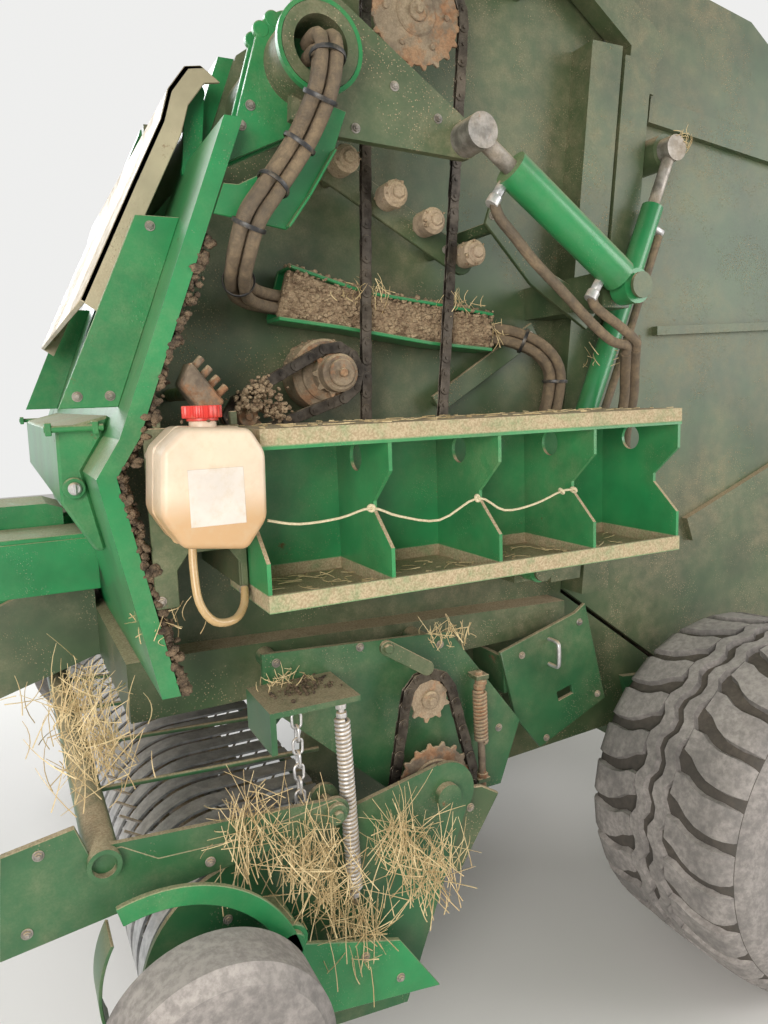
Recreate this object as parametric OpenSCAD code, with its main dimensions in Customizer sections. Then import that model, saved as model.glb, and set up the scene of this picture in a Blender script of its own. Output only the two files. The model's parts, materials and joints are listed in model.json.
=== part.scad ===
// Round baler for a tractor, with a belt chamber for round bales, parked on its jack.
// The front (towards the tractor) is -X, the machine's left side is -Y, the ground is z = 0.
// Its left side guard stands open; every other cover is shut.

/* [Chamber] */
// Clear width between the side walls
chamber_w = 1200; // [1100:10:1240]
// Thickness of a side wall with its folded edges
wall_t = 20; // [12:1:26]
// Radius of the largest bale
bale_r = 780; // [740:5:790]
// Centre of the bale, from the middle of the machine
bale_x = 850; // [840:5:870]
// Centre of the bale above the ground
bale_z = 1450; // [1440:5:1470]
// Thickness of the bale belts
belt_t = 9; // [6:1:14]
// Number of bale belts side by side
belt_n = 5; // [3:1:6]
// Gap between two belts
belt_gap = 34; // [20:2:50]
// Thickness of the roof and tailgate sheets
sheet_t = 12; // [6:1:16]
// Depth of the folded posts along the parting line
post_d = 80; // [60:2:90]
// Width of the front post
post_w = 104; // [80:2:110]
// Gap between the front housing and the tailgate
part_gap = 12; // [8:1:16]

/* [Wheels] */
// Outer radius of the tyres over their tread
tyre_r = 470; // [440:5:480]
// Width of the tyres
tyre_w = 500; // [420:10:520]
// Distance between the middles of the two tyres
track = 2100; // [2080:10:2200]
// Radius of the tyre bead seat
bead_r = 216; // [200:2:240]
// Height of the tread blocks
lug_h = 20; // [12:1:26]
// Number of tread blocks round a tyre
lug_n = 22; // [16:1:26]
// Axle, from the middle of the machine
axle_x = 1000; // [980:5:1020]
// Side of the square axle beam
axle_w = 110; // [90:5:120]
// Radius of the axle stubs
stub_r = 40; // [30:1:45]

/* [Front frame] */
// Thickness of the inclined front frame
bulk_t = 35; // [20:1:40]
// Half width of the front frame's flanges
flange_y = 950; // [920:5:960]
// Width of the drawbar at its root
drawbar_w = 300; // [240:10:320]
// Width of the drawbar at its nose
nose_w = 130; // [110:5:160]
// Front end of the drawbar beam
nose_x = -2060; // [-2080:5:-2000]
// Radius of the hole in the tow eye
eye_r = 20.5; // [20:0.5:25]
// Radius of the tow eye's ring
ring_r = 50; // [46:1:60]
// Outer radius of the jack tube
jack_r = 44; // [36:1:50]
// Radius of the jack foot
foot_r = 110; // [90:5:130]
// Radius of the splined input shaft
pto_r = 17.4; // [17:0.1:20]

/* [Pickup] */
// Radius of the stripper bands
band_r = 230; // [220:2:236]
// Width of a stripper band
band_w = 52; // [40:1:58]
// Distance from one stripper band to the next
band_pitch = 76; // [70:1:80]
// Thickness of a stripper band
band_t = 6; // [4:0.5:8]
// Radius out to the tips of the tines
tine_tip_r = 280; // [260:2:284]
// Radius of a tine
tine_r = 3.5; // [3:0.5:5]
// Number of tine bars round the reel
tine_bars = 4; // [3:1:6]
// Inner face of the pickup's side plates
pickup_y = 960; // [956:2:966]
// Outer radius of the feed rotor
rotor_r = 208; // [180:2:210]
// Radius of the gauge wheels
gauge_r = 200; // [170:5:210]
// Width of the gauge wheels
gauge_w = 150; // [110:5:160]
// Radius of the relief springs
spring_r = 16; // [12:1:18]

/* [Twine boxes] */
// Back face of a twine box, from the middle of the machine
twine_y = 790; // [785:1:800]
// Depth of a twine box
twine_d = 270; // [240:5:300]
// Front end of a twine box
twine_x0 = -423; // [-440:1:-410]
// Length of a twine box
twine_l = 1040; // [1000:5:1060]
// Underside of a twine box
twine_z = 1200; // [1190:1:1210]
// Height of a twine box
twine_h = 342; // [320:2:350]
// Thickness of the box sheet
twine_t = 8; // [5:0.5:12]
// Number of compartments in a twine box
twine_n = 4; // [3:1:5]

/* [Cylinders and arms] */
// Radius of the lift cylinder barrels
lift_r = 29; // [24:1:32]
// Radius of the lift cylinder rods
lift_rod_r = 16; // [12:1:18]
// Middle of the lift cylinders, from the middle of the machine
lift_y = 745; // [742:1:750]
// Radius of the tension cylinder barrels
tens_r = 40; // [34:1:44]
// Radius of the tension cylinder rods
tens_rod_r = 18; // [14:1:22]
// Outer radius of the tension cross tube
cross_r = 75; // [60:1:80]
// Bore radius of the tension cross tube
cross_bore_r = 53; // [40:1:58]

/* [Guards] */
// Thickness of a side guard
guard_t = 25; // [18:1:30]
// Outer face of a closed side guard
guard_y = 1200; // [1190:2:1230]
// Opening angle of the left guard as it stands
guard_open = 80; // [60:1:85]

/* [Hidden] */
$fn = 48;

paint = [0.16, 0.42, 0.20];
paint_bright = [0.16, 0.55, 0.28];
paint_dusty = [0.33, 0.38, 0.24];
rust = [0.42, 0.27, 0.16];
zinc = [0.72, 0.73, 0.76];
steel = [0.45, 0.44, 0.42];
dark = [0.10, 0.10, 0.10];
cream = [0.74, 0.68, 0.52];

// Running clearance of a shaft in its bore, and the least gap between moving pieces
run_gap = 0.05;
move_gap = 6;
seat_gap = 0.3;

// Places of the main pieces, as [x, z]
half_w = chamber_w / 2;
wall_out = half_w + wall_t;
post_out = wall_out + post_d;
bale_c = [bale_x, bale_z];
axle_c = [axle_x, tyre_r];
wheel_y = track / 2;
tyre_in = wheel_y - tyre_w / 2;
tail_pivot = [620, 2690];
tail_pin_r = 30;
front_line = [[-421, 2107], [-649, 1532], [-694, 1463], [-610, 1036]];
back_line = [for (p = front_line) p + [bulk_t, 0]];
function front_at(z) = lookup(z, [for (i = [3:-1:0]) [front_line[i][1], front_line[i][0]]]);
bulk_top = [-325, 2350];
cross_c = [-246, 2232];
beam_x0 = -640;
beam_x1 = -470;
beam_z0 = 900;
beam_z1 = 1036;
root_top = 1170;
root_low = 905;
nose_top = 590;
nose_low = 440;
tow_tip = -2286;
eye_x = tow_tip + ring_r;
eye_z = 480;
jack_x = -1500;
jack_y = -drawbar_w / 2 - jack_r - 30;

// Parting line between the front housing and the tailgate
part_z = 1564;
part_x = 666;
part_slope = 0.0994;
function part_at(z) = part_x + part_slope * (z - part_z);
part_low = [1150, 600];
part_knee = [part_at(1000), 1000];

// Footprint: the open guard reaches further left than the right tyre does to the right
guard_hinge = [800, 2620];
guard_drop = 1560;
guard_out = guard_y - guard_hinge[0];
reach_left = guard_hinge[0] + guard_out * cos(guard_open) + guard_drop * sin(guard_open);
reach_right = wheel_y + tyre_w / 2;
mid_y = (reach_left - reach_right) / 2;

module centred() { translate([0, mid_y, 0]) children(); }
module both_sides() { children(); mirror([0, 1, 0]) children(); }
// Extrudes an [x, z] outline from y0 to y1
module xz(y0, y1) { translate([0, y1, 0]) rotate([90, 0, 0]) linear_extrude(y1 - y0) children(); }
// Cylinder along Y at c = [x, z]
module rod_y(c, r, y0, y1) { translate([c[0], y1, c[1]]) rotate([90, 0, 0]) cylinder(h = y1 - y0, r = r); }
module box(x0, x1, y0, y1, z0, z1) { translate([x0, y0, z0]) cube([x1 - x0, y1 - y0, z1 - z0]); }
// Cylinder along X from x, with length l
module rod_x(x, l, r) { translate([x, 0, 0]) rotate([0, 90, 0]) cylinder(h = l, r = r); }
// Flat bar in [x, z] from p to q, with width w
module bar(p, q, w) {
    d = q - p;
    translate(p) rotate(atan2(d[1], d[0])) translate([0, -w / 2]) square([norm(d), w]);
}
// Bar with an eye at each end, a little wider than the bar
module link(p, q, w) {
    bar(p, q, w);
    translate(p) circle(d = w + 3);
    translate(q) circle(d = w + 3);
}
// Cylinder in the [x, z] plane at depth y, from p to q
module rod_xz(p, q, r, y) {
    d = q - p;
    translate([p[0], y, p[1]]) rotate([0, 90 - atan2(d[1], d[0]), 0]) cylinder(h = norm(d), r = r);
}
// Sector of a ring between two radii
module ring_sector(c, r0, r1, a0, a1) {
    n = ceil(abs(a1 - a0) / 60);
    reach = 2 * r1;
    translate(c) intersection() {
        difference() {
            circle(r = r1, $fn = 96);
            circle(r = r0, $fn = 96);
        }
        polygon(concat([[0, 0]], [for (i = [0:n]) let (a = a0 + (a1 - a0) * i / n) reach * [cos(a), sin(a)]]));
    }
}
// Outline points moved towards a centre by t
function shrunk(pts, c, t) = [for (p = pts) c + (p - c) * (1 - t / norm(p - c))];
function reversed(pts) = [for (i = [len(pts) - 1:-1:0]) pts[i]];
function along(p, q, t) = p + (q - p) * t;

// Wheels
bead_y = tyre_w * 0.3;
module tyre() {
    side = tyre_w / 2;
    body_r = tyre_r - lug_h;
    rotate([90, 0, 0]) {
        rotate_extrude($fn = 72) polygon([
            [bead_r, -bead_y], [bead_r + 14, -bead_y], [bead_r + 60, -side * 0.86], [body_r - 90, -side],
            [body_r - 40, -side * 0.96], [body_r, -side * 0.7], [body_r, side * 0.7],
            [body_r - 40, side * 0.96], [body_r - 90, side], [bead_r + 60, side * 0.86],
            [bead_r + 14, bead_y], [bead_r, bead_y]]);
        // Rows of tread blocks: [start, width, step round the tyre, top radius]
        rows = [[-0.92, 0.3, 0.3, tyre_r - 16], [-0.62, 0.3, 0, tyre_r - 3], [-0.32, 0.3, 0.5, tyre_r],
            [0.02, 0.3, 0, tyre_r], [0.32, 0.3, 0.5, tyre_r - 3], [0.62, 0.3, 0.2, tyre_r - 16]];
        for (r = rows) translate([0, 0, r[0] * side])
            linear_extrude(r[1] * side) tread_ring(r[3], body_r - 44, r[2]);
    }
}
// One ring of tread blocks with grooves between them
module tread_ring(top_r, low_r, step) {
    a = 360 / lug_n;
    groove_r = tyre_r - lug_h - 22;
    difference() {
        polygon([for (i = [0:lug_n - 1]) for (k = [[0.14, groove_r], [0.2, top_r], [0.8, top_r], [0.86, groove_r]])
            k[1] * [cos(a * (i + k[0] + step)), sin(a * (i + k[0] + step))]]);
        circle(r = low_r, $fn = 48);
    }
}
module rim() {
    seat = bead_r - seat_gap;
    lip = bead_y + 11;
    rotate([90, 0, 0]) difference() {
        rotate_extrude($fn = 72) polygon([
            [seat - 12, -lip], [seat + 12, -lip], [seat + 12, -bead_y - seat_gap],
            [seat, -bead_y - seat_gap], [seat, bead_y + seat_gap], [seat + 12, bead_y + seat_gap],
            [seat + 12, lip], [seat - 12, lip], [seat - 12, 30],
            [100, 50], [stub_r + 34, 50], [stub_r + 34, 80], [0, 80], [0, -110],
            [stub_r + 34, -110], [stub_r + 34, 26], [110, 22], [seat - 12, 0]]);
        translate([0, 0, -120]) cylinder(h = 120 + 60, r = stub_r + run_gap);
        for (i = [0:5]) rotate(60 * i + 30) translate([140, 0, -60]) cylinder(h = 160, r = 16);
    }
}
module wheel_place() { translate([axle_c[0], wheel_y, axle_c[1]]) rotate([0, 0, 180]) children(); }
module tyre_right() { color(dark) centred() wheel_place() tyre(); }
module rim_right() { color(cream) centred() wheel_place() rim(); }
module tyre_left() { color(dark) centred() mirror([0, 1, 0]) wheel_place() tyre(); }
module rim_left() { color(cream) centred() mirror([0, 1, 0]) wheel_place() rim(); }

// Axle and frame
module axle_beam() {
    h = axle_w / 2;
    brace = [[-160, 230], [150, 200], [h + 20, -h], [-h - 20, -h]];
    color(paint) centred() {
        box(axle_x - h, axle_x + h, -tyre_in + 40, tyre_in - 40, axle_c[1] - h, axle_c[1] + h);
        both_sides() {
            rod_y(axle_c, stub_r, tyre_in - 50, wheel_y + 50);
            xz(wall_out, wall_out + 20) polygon([for (p = brace) axle_c + p]);
        }
    }
}
module chassis() {
    color(paint_dusty) centred() {
        box(beam_x0, beam_x1, -post_out, post_out, beam_z0, beam_z1);
        intersection() {
            xz(-drawbar_w / 2, drawbar_w / 2) polygon([
                [beam_x0, root_low], [beam_x0, root_top], [nose_x, nose_top], [nose_x, nose_low]]);
            linear_extrude(root_top + 10) polygon([
                [beam_x0, -drawbar_w / 2], [beam_x0, drawbar_w / 2],
                [nose_x, nose_w / 2], [nose_x, -nose_w / 2]]);
        }
    }
}
module tow_eye() {
    t = 44;
    color(steel) centred() translate([0, 0, eye_z - t / 2]) difference() {
        union() {
            translate([eye_x, 0]) cylinder(h = t, r = ring_r);
            translate([eye_x, -32]) cube([nose_x - eye_x, 64, t]);
            translate([nose_x - 14, -nose_w / 2, -36]) cube([14, nose_w, 122]);
        }
        translate([eye_x, 0, -1]) cylinder(h = t + 2, r = eye_r);
    }
}
jack_top = 1010;
jack_low = 330;
module jack_tube() {
    color(paint) centred() translate([jack_x, jack_y, 0]) {
        translate([0, 0, jack_low]) difference() {
            cylinder(h = jack_top - jack_low, r = jack_r);
            translate([0, 0, -1]) cylinder(h = jack_top - jack_low - 20, r = jack_r - 8);
        }
        // Crank on the head and the plate that bolts to the drawbar
        translate([0, 0, jack_top]) cylinder(h = 40, r = 22);
        translate([-100, -9, jack_top + 12]) cube([90, 18, 18]);
        translate([0, 0, 640]) linear_extrude(160) polygon([[-60, jack_r - 4], [60, jack_r - 4],
            [60, -drawbar_half(jack_x + 60) - jack_y], [-60, -drawbar_half(jack_x - 60) - jack_y]]);
    }
}
function drawbar_half(x) = (nose_w + (drawbar_w - nose_w) * (x - nose_x) / (beam_x0 - nose_x)) / 2;
module jack_leg() {
    color(zinc) centred() translate([jack_x, jack_y, 0]) {
        translate([0, 0, 10]) cylinder(h = 620, r = jack_r - 8 - run_gap);
        cylinder(h = 12, r = foot_r);
    }
}

// Front housing
wall_front = [[-290, 2350], [60, 2600], [450, 2740], [640, 2744]];
wall_low = [[1150, 560], [300, 520], [100, 480]];
wall_throat = [[-215, 760], [-300, 900]];
pivot_ear_r = 138;
rotor_c = [-4, 690];
module front_wall_2d() {
    difference() {
        union() {
            polygon(concat([[back_line[3][0], beam_z1], back_line[2], back_line[1], back_line[0]],
                wall_front, [[part_at(2560), 2560], part_knee, part_low],
                wall_low, [rotor_c + [0, -rotor_r - 8], rotor_c], wall_throat,
                [[beam_x1, beam_z1]]));
            translate(rotor_c) circle(r = rotor_r + 10);
            intersection() {
                translate(tail_pivot) circle(r = pivot_ear_r);
                polygon([[500, 2500], [500, 2744], [700, 2744], [770, 2690], [770, 2500]]);
            }
        }
        translate(cross_c) circle(r = cross_r + run_gap);
        translate(rotor_c) circle(r = rotor_journal_r + run_gap);
    }
}
rotor_journal_r = 35;
rail_h = 60;
rail_x0 = -240;
rail_x1 = 520;
knuckle_l = 110;
knuckles = [-180, 380];
module wall_side() {
    xz(-wall_out, -half_w) front_wall_2d();
    // Post along the parting line
    xz(-post_out, -wall_out) polygon([
        [part_at(2500) - post_w, 2500], [part_at(2500), 2500],
        [part_at(1060), 1060], [part_at(1060) - post_w, 1060]]);
    // Rail along the roof that carries the side guard, on three brackets
    rail_y = guard_hinge[0] - rail_h;
    box(rail_x0, rail_x1, -guard_hinge[0] + 20, -rail_y, guard_hinge[1] - 26, guard_hinge[1] + 10);
    for (x = [100, 280, 460]) box(x, x + 14, -rail_y, -half_w, guard_hinge[1] - 26, guard_hinge[1] + 10);
    // Hinge ears and pins of the side guard
    translate([0, -guard_hinge[0], guard_hinge[1]]) for (x = knuckles) {
        rod_x(x - 12, knuckle_l + 24, 6);
        for (e = [x - 12, x + knuckle_l + 2]) {
            rod_x(e, 10, 11);
            translate([e, 0, -11]) cube([10, 20, 17]);
        }
    }
    // Stiffening rail along the bottom
    xz(-post_out, -wall_out) polygon([[beam_x1, beam_z0], [beam_x1, beam_z1], [560, 1000], [560, 920]]);
    // Pivot pin of the tailgate
    rod_y(tail_pivot, tail_pin_r, -post_out, -wall_out + 5);
    // Brackets and pins at the feet of the lift and tension cylinders
    for (c = [[lift_base, lift_y, lift_r, 18], [tens_base, tens_y, tens_r, 20]]) {
        xz(-c[1] + c[2] + move_gap, -wall_out) translate(c[0]) square(84, center = true);
        rod_y(c[0], c[3], -c[1] - 34, -c[1] + c[2] + move_gap);
        rod_y(c[0], c[3] + 10, -c[1] - 42, -c[1] - 34);
    }
}
module left_wall() { color(paint_dusty) centred() wall_side(); }
module right_wall() { color(paint_dusty) centred() mirror([0, 1, 0]) wall_side(); }

module bulkhead() {
    color(paint_bright) centred() difference() {
        union() {
            xz(-flange_y, flange_y) polygon(concat(front_line, reversed(back_line)));
            xz(-half_w, half_w) polygon([front_line[0], bulk_top, bulk_top + [bulk_t, 0], back_line[0]]);
        }
        // Window for the net
        box(-800, -300, -half_w + 40, half_w - 40, 1600, 2060);
    }
    // Ears and pin of the net hood
    color(paint_bright) centred() {
        rod_y(hood_pivot, hood_pin_r, -half_w - 50, half_w + 50);
        both_sides() xz(-half_w - 50, -half_w - 36) link(hood_pivot, front_line[0] + [8, -20], 40);
    }
}
module roof_sheet() {
    outer = concat([bulk_top + [bulk_t, 0]], [for (i = [1:3]) wall_front[i]]);
    color(paint) centred() xz(-half_w, half_w) polygon(concat(outer, [for (p = reversed(outer)) p - [0, sheet_t]]));
}
// Rollers behind the belts, then those that the bale rests on: [angle round the bale, radius, gap to the bale]
belt_back = belt_t + seat_gap;
front_rollers = [[112, 50, belt_back], [140, 60, belt_back], [165, 60, belt_back], [190, 60, belt_back],
    [213, 60, belt_back], [224.4, 56, 4], [250.3, 70, 10], [270, 62, 10]];
tail_rollers = [[92, 50, belt_back], [48, 60, belt_back], [3, 60, belt_back], [-42, 60, belt_back],
    [-78, 60, belt_back]];
module roller_row(table) {
    for (r = table) {
        c = bale_c + (bale_r + r[2] + r[1]) * [cos(r[0]), sin(r[0])];
        rod_y(c, r[1], -half_w + 10, half_w - 10);
        rod_y(c, 18, -half_w, half_w);
    }
}
module chamber_rollers() { color(steel) centred() roller_row(front_rollers); }
module tail_drums() { color(steel) centred() roller_row(tail_rollers); }
belt_w = (chamber_w - 40 - (belt_n - 1) * belt_gap) / belt_n;
module belt_rows(a0, a1) {
    for (i = [0:belt_n - 1]) {
        y = -half_w + 20 + i * (belt_w + belt_gap);
        xz(y, y + belt_w) ring_sector(bale_c, bale_r, bale_r + belt_t, a0, a1);
    }
}
module front_belts() { color(dark) centred() belt_rows(108, 218); }
module tail_belts() { color(dark) centred() belt_rows(-100, 94); }

module net_box() {
    y = half_w + 20;
    color(paint_bright) centred() xz(-y, y) polygon([
        [front_at(1545), 1545], [-850, 1560], [-880, 1530], [-880, 1345], [-862, 1345],
        [-862, 1520], [-846, 1535], [front_at(1520), 1520]]);
}
hood_pivot = [-395, 2250];
hood_pin_r = 12;
module net_hood() {
    y = half_w + 30;
    outer = [[-400, 2275], [-470, 2285], [-560, 2240], [-640, 2100], [-700, 1960], [-740, 1800]];
    inner = [for (p = outer) p + [16, -18]];
    color(cream) centred() difference() {
        union() {
            xz(-y, y) polygon(concat(outer, reversed(inner)));
            both_sides() xz(-y, -y + 14) polygon(concat(outer, [[-560, 1800], [-455, 2060], [-410, 2180]]));
            rod_y(hood_pivot, hood_pin_r * 2, -y, y);
        }
        rod_y(hood_pivot, hood_pin_r + run_gap, -y - 1, y + 1);
    }
}
pto_journal_r = 22;
module gearbox() {
    root_at = function(x) seat_gap + root_top - (root_top - nose_top) * (beam_x0 - x) / (beam_x0 - nose_x);
    color(paint_bright) centred() difference() {
        union() {
            xz(-110, 110) polygon([[-700, root_at(-700)], [-700, 1320], [-740, 1335], [-860, 1335], [-900, 1310],
                [-900, root_at(-900)]]);
            translate([-925, 0, 1230]) rotate([0, 90, 0]) cylinder(h = 40, r = 60);
        }
        translate([-926, 0, 1230]) rotate([0, 90, 0]) cylinder(h = 101, r = pto_journal_r + run_gap);
    }
}
module pto_stub() {
    color(zinc) centred() translate([-1020, 0, 1230]) rotate([0, 90, 0]) {
        cylinder(h = 91, r = pto_r);
        translate([0, 0, 90]) cylinder(h = 100, r = pto_journal_r);
    }
}

// Intake side plates, with the brackets that hold the relief springs
plate_y = 838;
plate_t = 12;
shaft_r = 30;
intake_pts = [[-381, 1054], [88, 1027], [291, 758], [230, 600], [60, 600], [-80, 660], [-381, 940]];
spring_y = 995;
spring_top = [-263, 960];
spring_low = [-249, 516];
module intake_sides() {
    color(paint) centred() both_sides() {
        xz(-plate_y - plate_t, -plate_y) union() {
            polygon(intake_pts);
            translate(rotor_c) circle(r = 90);
        }
        rod_y(rotor_c, shaft_r, -990, -plate_y);
        for (p = [[-330, 1000], [60, 985]]) rod_y(p, 22, -plate_y, -post_out);
        // Bent bracket over the spring
        box(-420, -225, -1012, -plate_y - plate_t, 975, 987);
        box(-420, -408, -1012, -plate_y - plate_t, 900, 975);
    }
}
module relief_springs() {
    color(zinc) centred() both_sides() {
        rod_xz(spring_low + [0, 40], spring_top, spring_r, -spring_y);
        rod_xz(spring_low + [0, 20], spring_top + [0, 15 - seat_gap], 6, -spring_y);
    }
}
module side_cover() {
    color(paint) centred() {
        xz(-782, -770) polygon([[232, 956], [520, 985], [500, 760], [371, 685], [260, 740]]);
        box(250, 262, -770, -wall_out, 800, 900);
        // Wire handle
        for (z = [890, 960]) rod_y([400, z], 6, -824, -782);
        translate([400, -824, 884]) cylinder(h = 82, r = 6);
    }
}

// Twine boxes
module twine_side() {
    x1 = twine_x0 + twine_l;
    y0 = -twine_y - twine_d;
    t = twine_t;
    pitch = (twine_l - t) / twine_n;
    // Back, top, bottom
    box(twine_x0, x1, -twine_y - t, -twine_y, twine_z, twine_z + twine_h);
    box(twine_x0, x1, y0, -twine_y, twine_z, twine_z + t);
    box(twine_x0, x1, y0, -twine_y, twine_z + twine_h - t, twine_z + twine_h);
    // Front lips
    box(twine_x0, x1, y0, y0 + t, twine_z, twine_z + 34);
    box(twine_x0, x1, y0, y0 + t, twine_z + twine_h - 38, twine_z + twine_h);
    // Dividers with a notched front edge and an oval hole
    for (i = [0:twine_n]) translate([twine_x0 + i * pitch, 0, 0]) divider(y0, t);
    // Brackets to the wall
    for (x = [twine_x0 + 60, twine_x0 + 400]) box(x, x + 12, -twine_y, -wall_out, twine_z + 40, twine_z + 200);
}
module divider(y0, t) {
    z1 = twine_z + twine_h - t / 2;
    z0 = twine_z + t / 2;
    mid = (z0 + z1) / 2;
    rotate([90, 0, 90]) linear_extrude(t) difference() {
        polygon([[-twine_y - t / 2, z0], [-twine_y - t / 2, z1], [y0 + 4, z1], [y0 + 4, z1 - 90],
            [y0 + 80, mid + 10], [y0 + 80, mid - 10], [y0 + 4, z0 + 90], [y0 + 4, z0]]);
        translate([-twine_y - 110, z1 - 70]) circle(r = 30);
    }
}
module twine_box_left() { color(paint_dusty) centred() twine_side(); }
module twine_box_right() { color(paint_dusty) centred() mirror([0, 1, 0]) twine_side(); }

// Oil tank with eight sides, on its bracket plate
tank_x0 = -600;
tank_x1 = -440;
tank_y0 = -1110;
tank_y1 = -940;
tank_z0 = 1330;
tank_z1 = 1545;
module oil_tank() {
    c = 46;
    color([0.85, 0.8, 0.66]) centred() translate([0, 0, tank_z0]) linear_extrude(tank_z1 - tank_z0) polygon([
        [tank_x0 + c, tank_y0], [tank_x1 - c, tank_y0], [tank_x1, tank_y0 + c], [tank_x1, tank_y1 - 10],
        [tank_x1 - 10, tank_y1], [tank_x0 + 10, tank_y1], [tank_x0, tank_y1 - 10], [tank_x0, tank_y0 + c]]);
}
module oil_cap() {
    color([0.75, 0.1, 0.08]) centred() translate([-520, -1025, tank_z1]) {
        cylinder(h = 14, r = 24);
        translate([0, 0, 14]) cylinder(h = 16, r = 35);
    }
}
module tank_bracket() {
    color(paint_dusty) centred() {
        box(tank_x0, tank_x1, tank_y0 + 10, tank_y1, tank_z0 - 12, tank_z0);
        box(tank_x0, tank_x1, -wall_out - 320, -wall_out - 308, 1190, tank_z0 - 12);
        for (x = [tank_x0 + 20, tank_x1 - 32]) box(x, x + 12, -wall_out - 308, -wall_out, 1200, 1290);
    }
}

// Left side drive and services
drive_y = 750;
module hose_tray() {
    color(paint_bright) centred() {
        xz(-900, -810) difference() {
            polygon([[-278, 1745], [-278, 1845], [215, 1790], [215, 1690]]);
            polygon([[-279, 1757], [-279, 1846], [216, 1791], [216, 1702]]);
        }
        for (x = [-150, 170]) box(x, x + 12, -810, -wall_out, 1712, 1742);
    }
}
idlers = [[-186, 2061], [-85, 2008], [2, 1956], [104, 1902]];
module idler_arm() {
    color(paint_dusty) centred() {
        xz(-885, -870) link([-250, 2095], [150, 1880], 66);
        for (p = idlers) rod_y(p, 24, -950, -880);
        for (p = [[-200, 2066], [20, 1946]]) rod_y(p, 14, -875, -wall_out);
    }
}
// Chain runs: [first centre, its radius, second centre, its radius]
chain_runs = [[[-100, 2060], 50, [-180, 1400], 130], [[168, 2520], 55, [60, 1420], 60]];
chain_t = 14;
module drive_chains() {
    color(steel) centred() {
        for (c = chain_runs) xz(-drive_y - 8, -drive_y + 8) chain_loop(c[0], c[1], c[2], c[3]);
        xz(-924, -908) chain_loop(small_c, 54, rotor_c, 100);
    }
}
small_c = [-11, 900];
// Outer tangent of two circles on each side gives the two strands
module chain_loop(p, rp, q, rq) {
    d = q - p;
    l = norm(d);
    dir = atan2(d[1], d[0]);
    a = acos((rp - rq) / l);
    difference() {
        union() {
            translate(p) circle(r = rp + chain_t);
            translate(q) circle(r = rq + chain_t);
            polygon([for (k = [[p, rp, 1], [q, rq, 1], [q, rq, -1], [p, rp, -1]])
                k[0] + (k[1] + chain_t - 1) * [cos(dir + k[2] * a), sin(dir + k[2] * a)]]);
        }
        translate(p) circle(r = rp);
        translate(q) circle(r = rq);
        polygon([for (k = [[p, rp, 1], [q, rq, 1], [q, rq, -1], [p, rp, -1]])
            k[0] + (k[1] + 1) * [cos(dir + k[2] * a), sin(dir + k[2] * a)]]);
    }
}
module drive_sprockets() {
    color(rust) centred() {
        for (c = chain_runs) for (k = [0, 2]) {
            rod_y(c[k], c[k + 1] - seat_gap, -drive_y - 6, -drive_y + 6);
            rod_y(c[k], 22, -drive_y - 20, -wall_out);
        }
        rod_y(small_c, 54 - seat_gap, -922, -910);
        rod_y(small_c, 25, -930, -plate_y - plate_t);
        difference() {
            rod_y(rotor_c, 100 - seat_gap, -922, -910);
            rod_y(rotor_c, shaft_r + run_gap, -930, -900);
        }
        rod_y([-190, 1648], 58, -895, -880);
        rod_y([-190, 1648], 16, -905, -wall_out);
    }
}
module lube_block() {
    color(rust) centred() {
        box(-440, -380, -930, -880, 1580, 1680);
        box(-430, -390, -880, -wall_out, 1600, 1640);
    }
}

// Tailgate
tail_outer = [[1000, 2750], [1350, 2690], [1750, 2430], [2080, 1950], [2180, 1450], [2090, 1000],
    [1800, 690], [1400, 575], [1180, 592]];
module tail_wall_2d() {
    low = [part_low + [part_gap + 4, 6], part_knee + [part_gap, 8], [part_at(2560) + part_gap, 2560]];
    difference() {
        polygon(concat([[part_at(2560) + part_gap, 2620]], tail_outer, low));
        translate(tail_pivot) circle(r = pivot_ear_r + move_gap + 4);
    }
}
lift_top = [895, 2239];
lift_base = [422, 1120];
module tail_wall() {
    xz(-wall_out, -half_w) tail_wall_2d();
    // Post along the parting line, with the ear on the pivot pin
    y1 = wall_out + 14;
    xz(-post_out, -wall_out) polygon([
        [part_at(2480) + part_gap, 2480], [part_at(2480) + part_gap + 96, 2480],
        [part_at(1010) + part_gap + 96, 1010], [part_at(1010) + part_gap, 1010]]);
    xz(-post_out + 6, -y1) difference() {
        union() {
            link(tail_pivot, [865, 2520], 96);
            bar([850, 2560], [830, 2400], 96);
        }
        translate(tail_pivot) circle(r = tail_pin_r + run_gap);
    }
    xz(-y1, -wall_out) bar([868, 2570], [840, 2440], 80);
    // Inclined stiffening strips
    xz(-wall_out - 22, -wall_out) {
        bar([916, 2379], [1560, 2304], 70);
        bar([1115, 1138], [1900, 1428], 80);
        bar([960, 1760], [2060, 1800], 26);
    }
    // Lug beside the eye of the lift cylinder
    xz(-lift_y + 20, -wall_out) translate(lift_top) circle(r = 46);
}
module tail_wall_left() { color(paint_dusty) centred() tail_wall(); }
module tail_wall_right() { color(paint_dusty) centred() mirror([0, 1, 0]) tail_wall(); }
module tail_shell() {
    color(paint) centred() xz(-half_w, half_w)
        polygon(concat(tail_outer, reversed(shrunk(tail_outer, bale_c, sheet_t))));
}
function tail_at(z) = lookup(z, [[tail_outer[5][1], tail_outer[5][0]], [tail_outer[4][1], tail_outer[4][0]]]);
module tail_lamps() {
    color(dark) centred() {
        box(2184, 2240, -900, 900, 1180, 1250);
        both_sides() xz(400, 460) polygon([[tail_at(1200), 1200], [tail_at(1240), 1240], [2190, 1240], [2190, 1200]]);
        both_sides() box(2240, -tow_tip, -880, -700, 1170, 1260);
    }
}

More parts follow.
